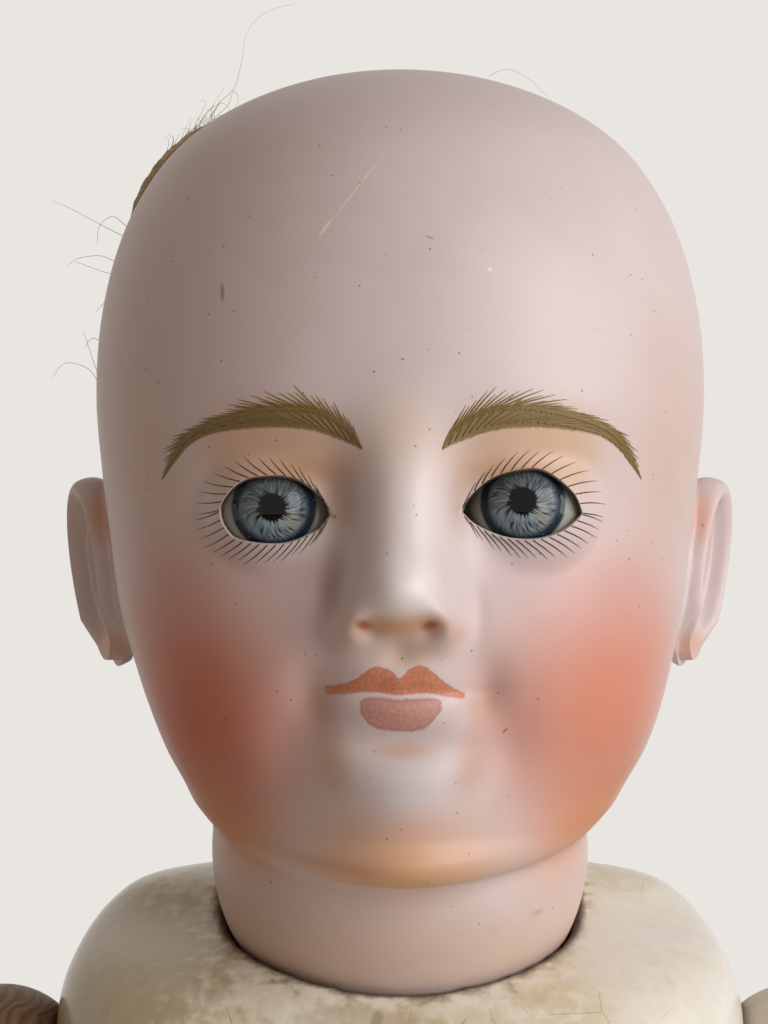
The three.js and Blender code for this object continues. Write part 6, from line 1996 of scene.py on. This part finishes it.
shader = add(tree, "BsdfPrincipled", {"Base Color": colour, "Roughness": 0.85, "Normal": relief})
add(tree, "OutputMaterial", {"Surface": shader})


def cord_piece(name, path, radius, origin=(0, 0, 0), sides=16):
    """A covered cord, with a UV map that runs once round it and along it in millimetres."""
    path = np.asarray(path, float)
    cord = tube(name, path, radius, origin, sides)
    run = np.concatenate([[0], np.cumsum(np.linalg.norm(np.diff(path, axis=0), axis=1))])
    row, side = np.meshgrid(np.arange(len(path) - 1), np.arange(sides), indexing="ij")
    corners = [
        np.stack([(side + i) / sides, run[row + j]], -1)
        for i, j in ((0, 0), (1, 0), (1, 1), (0, 1))
    ]
    uv = np.zeros((len(cord.data.loops), 2))
    uv[: 4 * row.size] = np.stack(corners, 2).reshape(-1, 2)
    cord.data.uv_layers.new(name="wound").data.foreach_set("uv", uv.ravel())
    cord.data.materials.append(elastic)
    smooth_shading(cord, 60)
    return cord


half_span = shoulder_from_neck[0] - arm_cord_radius - seam_gap
shoulder_level = shoulder_from_neck[2]
points = [
    (across * half_span, -forward * arm_cord_bow, shoulder_level)
    for across, forward in arm_cord_shares
]
arm_cord = cord_piece(
    "torso_arm_cord", smooth_rows(points, np.linspace(0, 6, 90)), arm_cord_radius, neck_pivot
)
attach(arm_cord, "torso")
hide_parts("torso_arm_elastic")

hang = np.array((0, -hook_bend, -hook_drop - hook_bend))
arch_radius = hook_wire + seam_gap + leg_cord_radius
left_bend = np.array(hip_from_neck) + (0, 0, leg_cord_radius + seam_gap)
slope = math.atan2(hip_from_neck[0], hang[2] - hip_from_neck[2])
arch = [
    hang + arch_radius * np.array((math.cos(a), 0, math.sin(a)))
    for a in np.linspace(slope, math.pi - slope, 24)
]
left_run = [left_bend + (arch[0] - left_bend) * share for share in np.linspace(0, 1, 40)[:-1]]
right_run = [point * (-1, 1, 1) for point in left_run[::-1]]
leg_cord = cord_piece("torso_leg_cord", [*left_run, *arch, *right_run], leg_cord_radius, neck_pivot)
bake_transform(leg_cord)
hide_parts("torso_leg_elastic")


def anchored_path(radius):
    """Down from a ball's middle, once round the eyelet's ring and back to the run."""
    loop = radius * loop_share + eyelet_wire + 2 * seam_gap
    middle = -anchor_depth + eyelet_radius
    run = [(0, 0, z) for z in np.linspace(0, middle + loop, 24)]
    ring = [
        (loop * math.sin(a), 0, middle + loop * math.cos(a))
        for a in np.linspace(0, 2 * math.pi, 40)[1:-1]
    ]
    thickness = [radius] * len(run) + [radius * loop_share] * len(ring)
    return run + ring, thickness


def screw_eye(name):
    """A wire ring on a straight shank, about the middle of the joint above it."""
    angle = np.linspace(0, 2 * math.pi, 20, endpoint=False)
    section = [(eyelet_radius + eyelet_wire * math.cos(a), eyelet_wire * math.sin(a)) for a in angle]
    ring = turned(name, section[::-1], 40, (0, 0, 0))
    ring.data.transform(
        Matrix.Translation((0, 0, -anchor_depth * millimetre)) @ Matrix.Rotation(math.pi / 2, 4, "Y")
    )
    top = -anchor_depth - eyelet_radius
    return joined(ring, [rod("shank", eyelet_wire, (0, 0, top), (0, 0, top - eyelet_shank), sides=24)])


for body, limb, centre, radius, length, leaning in (
    ("arm", "upper_arm", shoulder_from_neck, arm_cord_radius, upper_arm_length, True),
    ("forearm", "forearm", elbow_from_neck, arm_cord_radius, None, True),
    ("thigh", "thigh", hip_from_neck, leg_cord_radius, thigh_length, False),
    ("lower_leg", "lower_leg", knee_from_neck, leg_cord_radius, None, False),
):
    if length:
        start = radius + seam_gap
        path, thickness = [(0, 0, -z) for z in np.linspace(start, length - start, 60)], radius
    else:
        path, thickness = anchored_path(radius)
    cord = cord_piece("cord", path, thickness)
    made = [(cord, "cord", "elastic", "elastic")]
    if not length:
        eye = screw_eye("eye")
        eye.data.materials.append(iron)
        smooth_shading(eye, 50)
        made.append((eye, "screw_eye", "eyelet", "iron_wire"))
    for source, label, node, slot in made:
        for side, word in ((1, "left"), (-1, "right")):
            placed = stand(
                source, f"{word}_{limb}_{label}", side, centre, arm_spread_degrees if leaning else 0
            )
            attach(placed, f"{word}_{body}")
            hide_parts(f"{word}_{limb}_{node}")
        bpy.data.meshes.remove(source.data)


low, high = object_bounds()
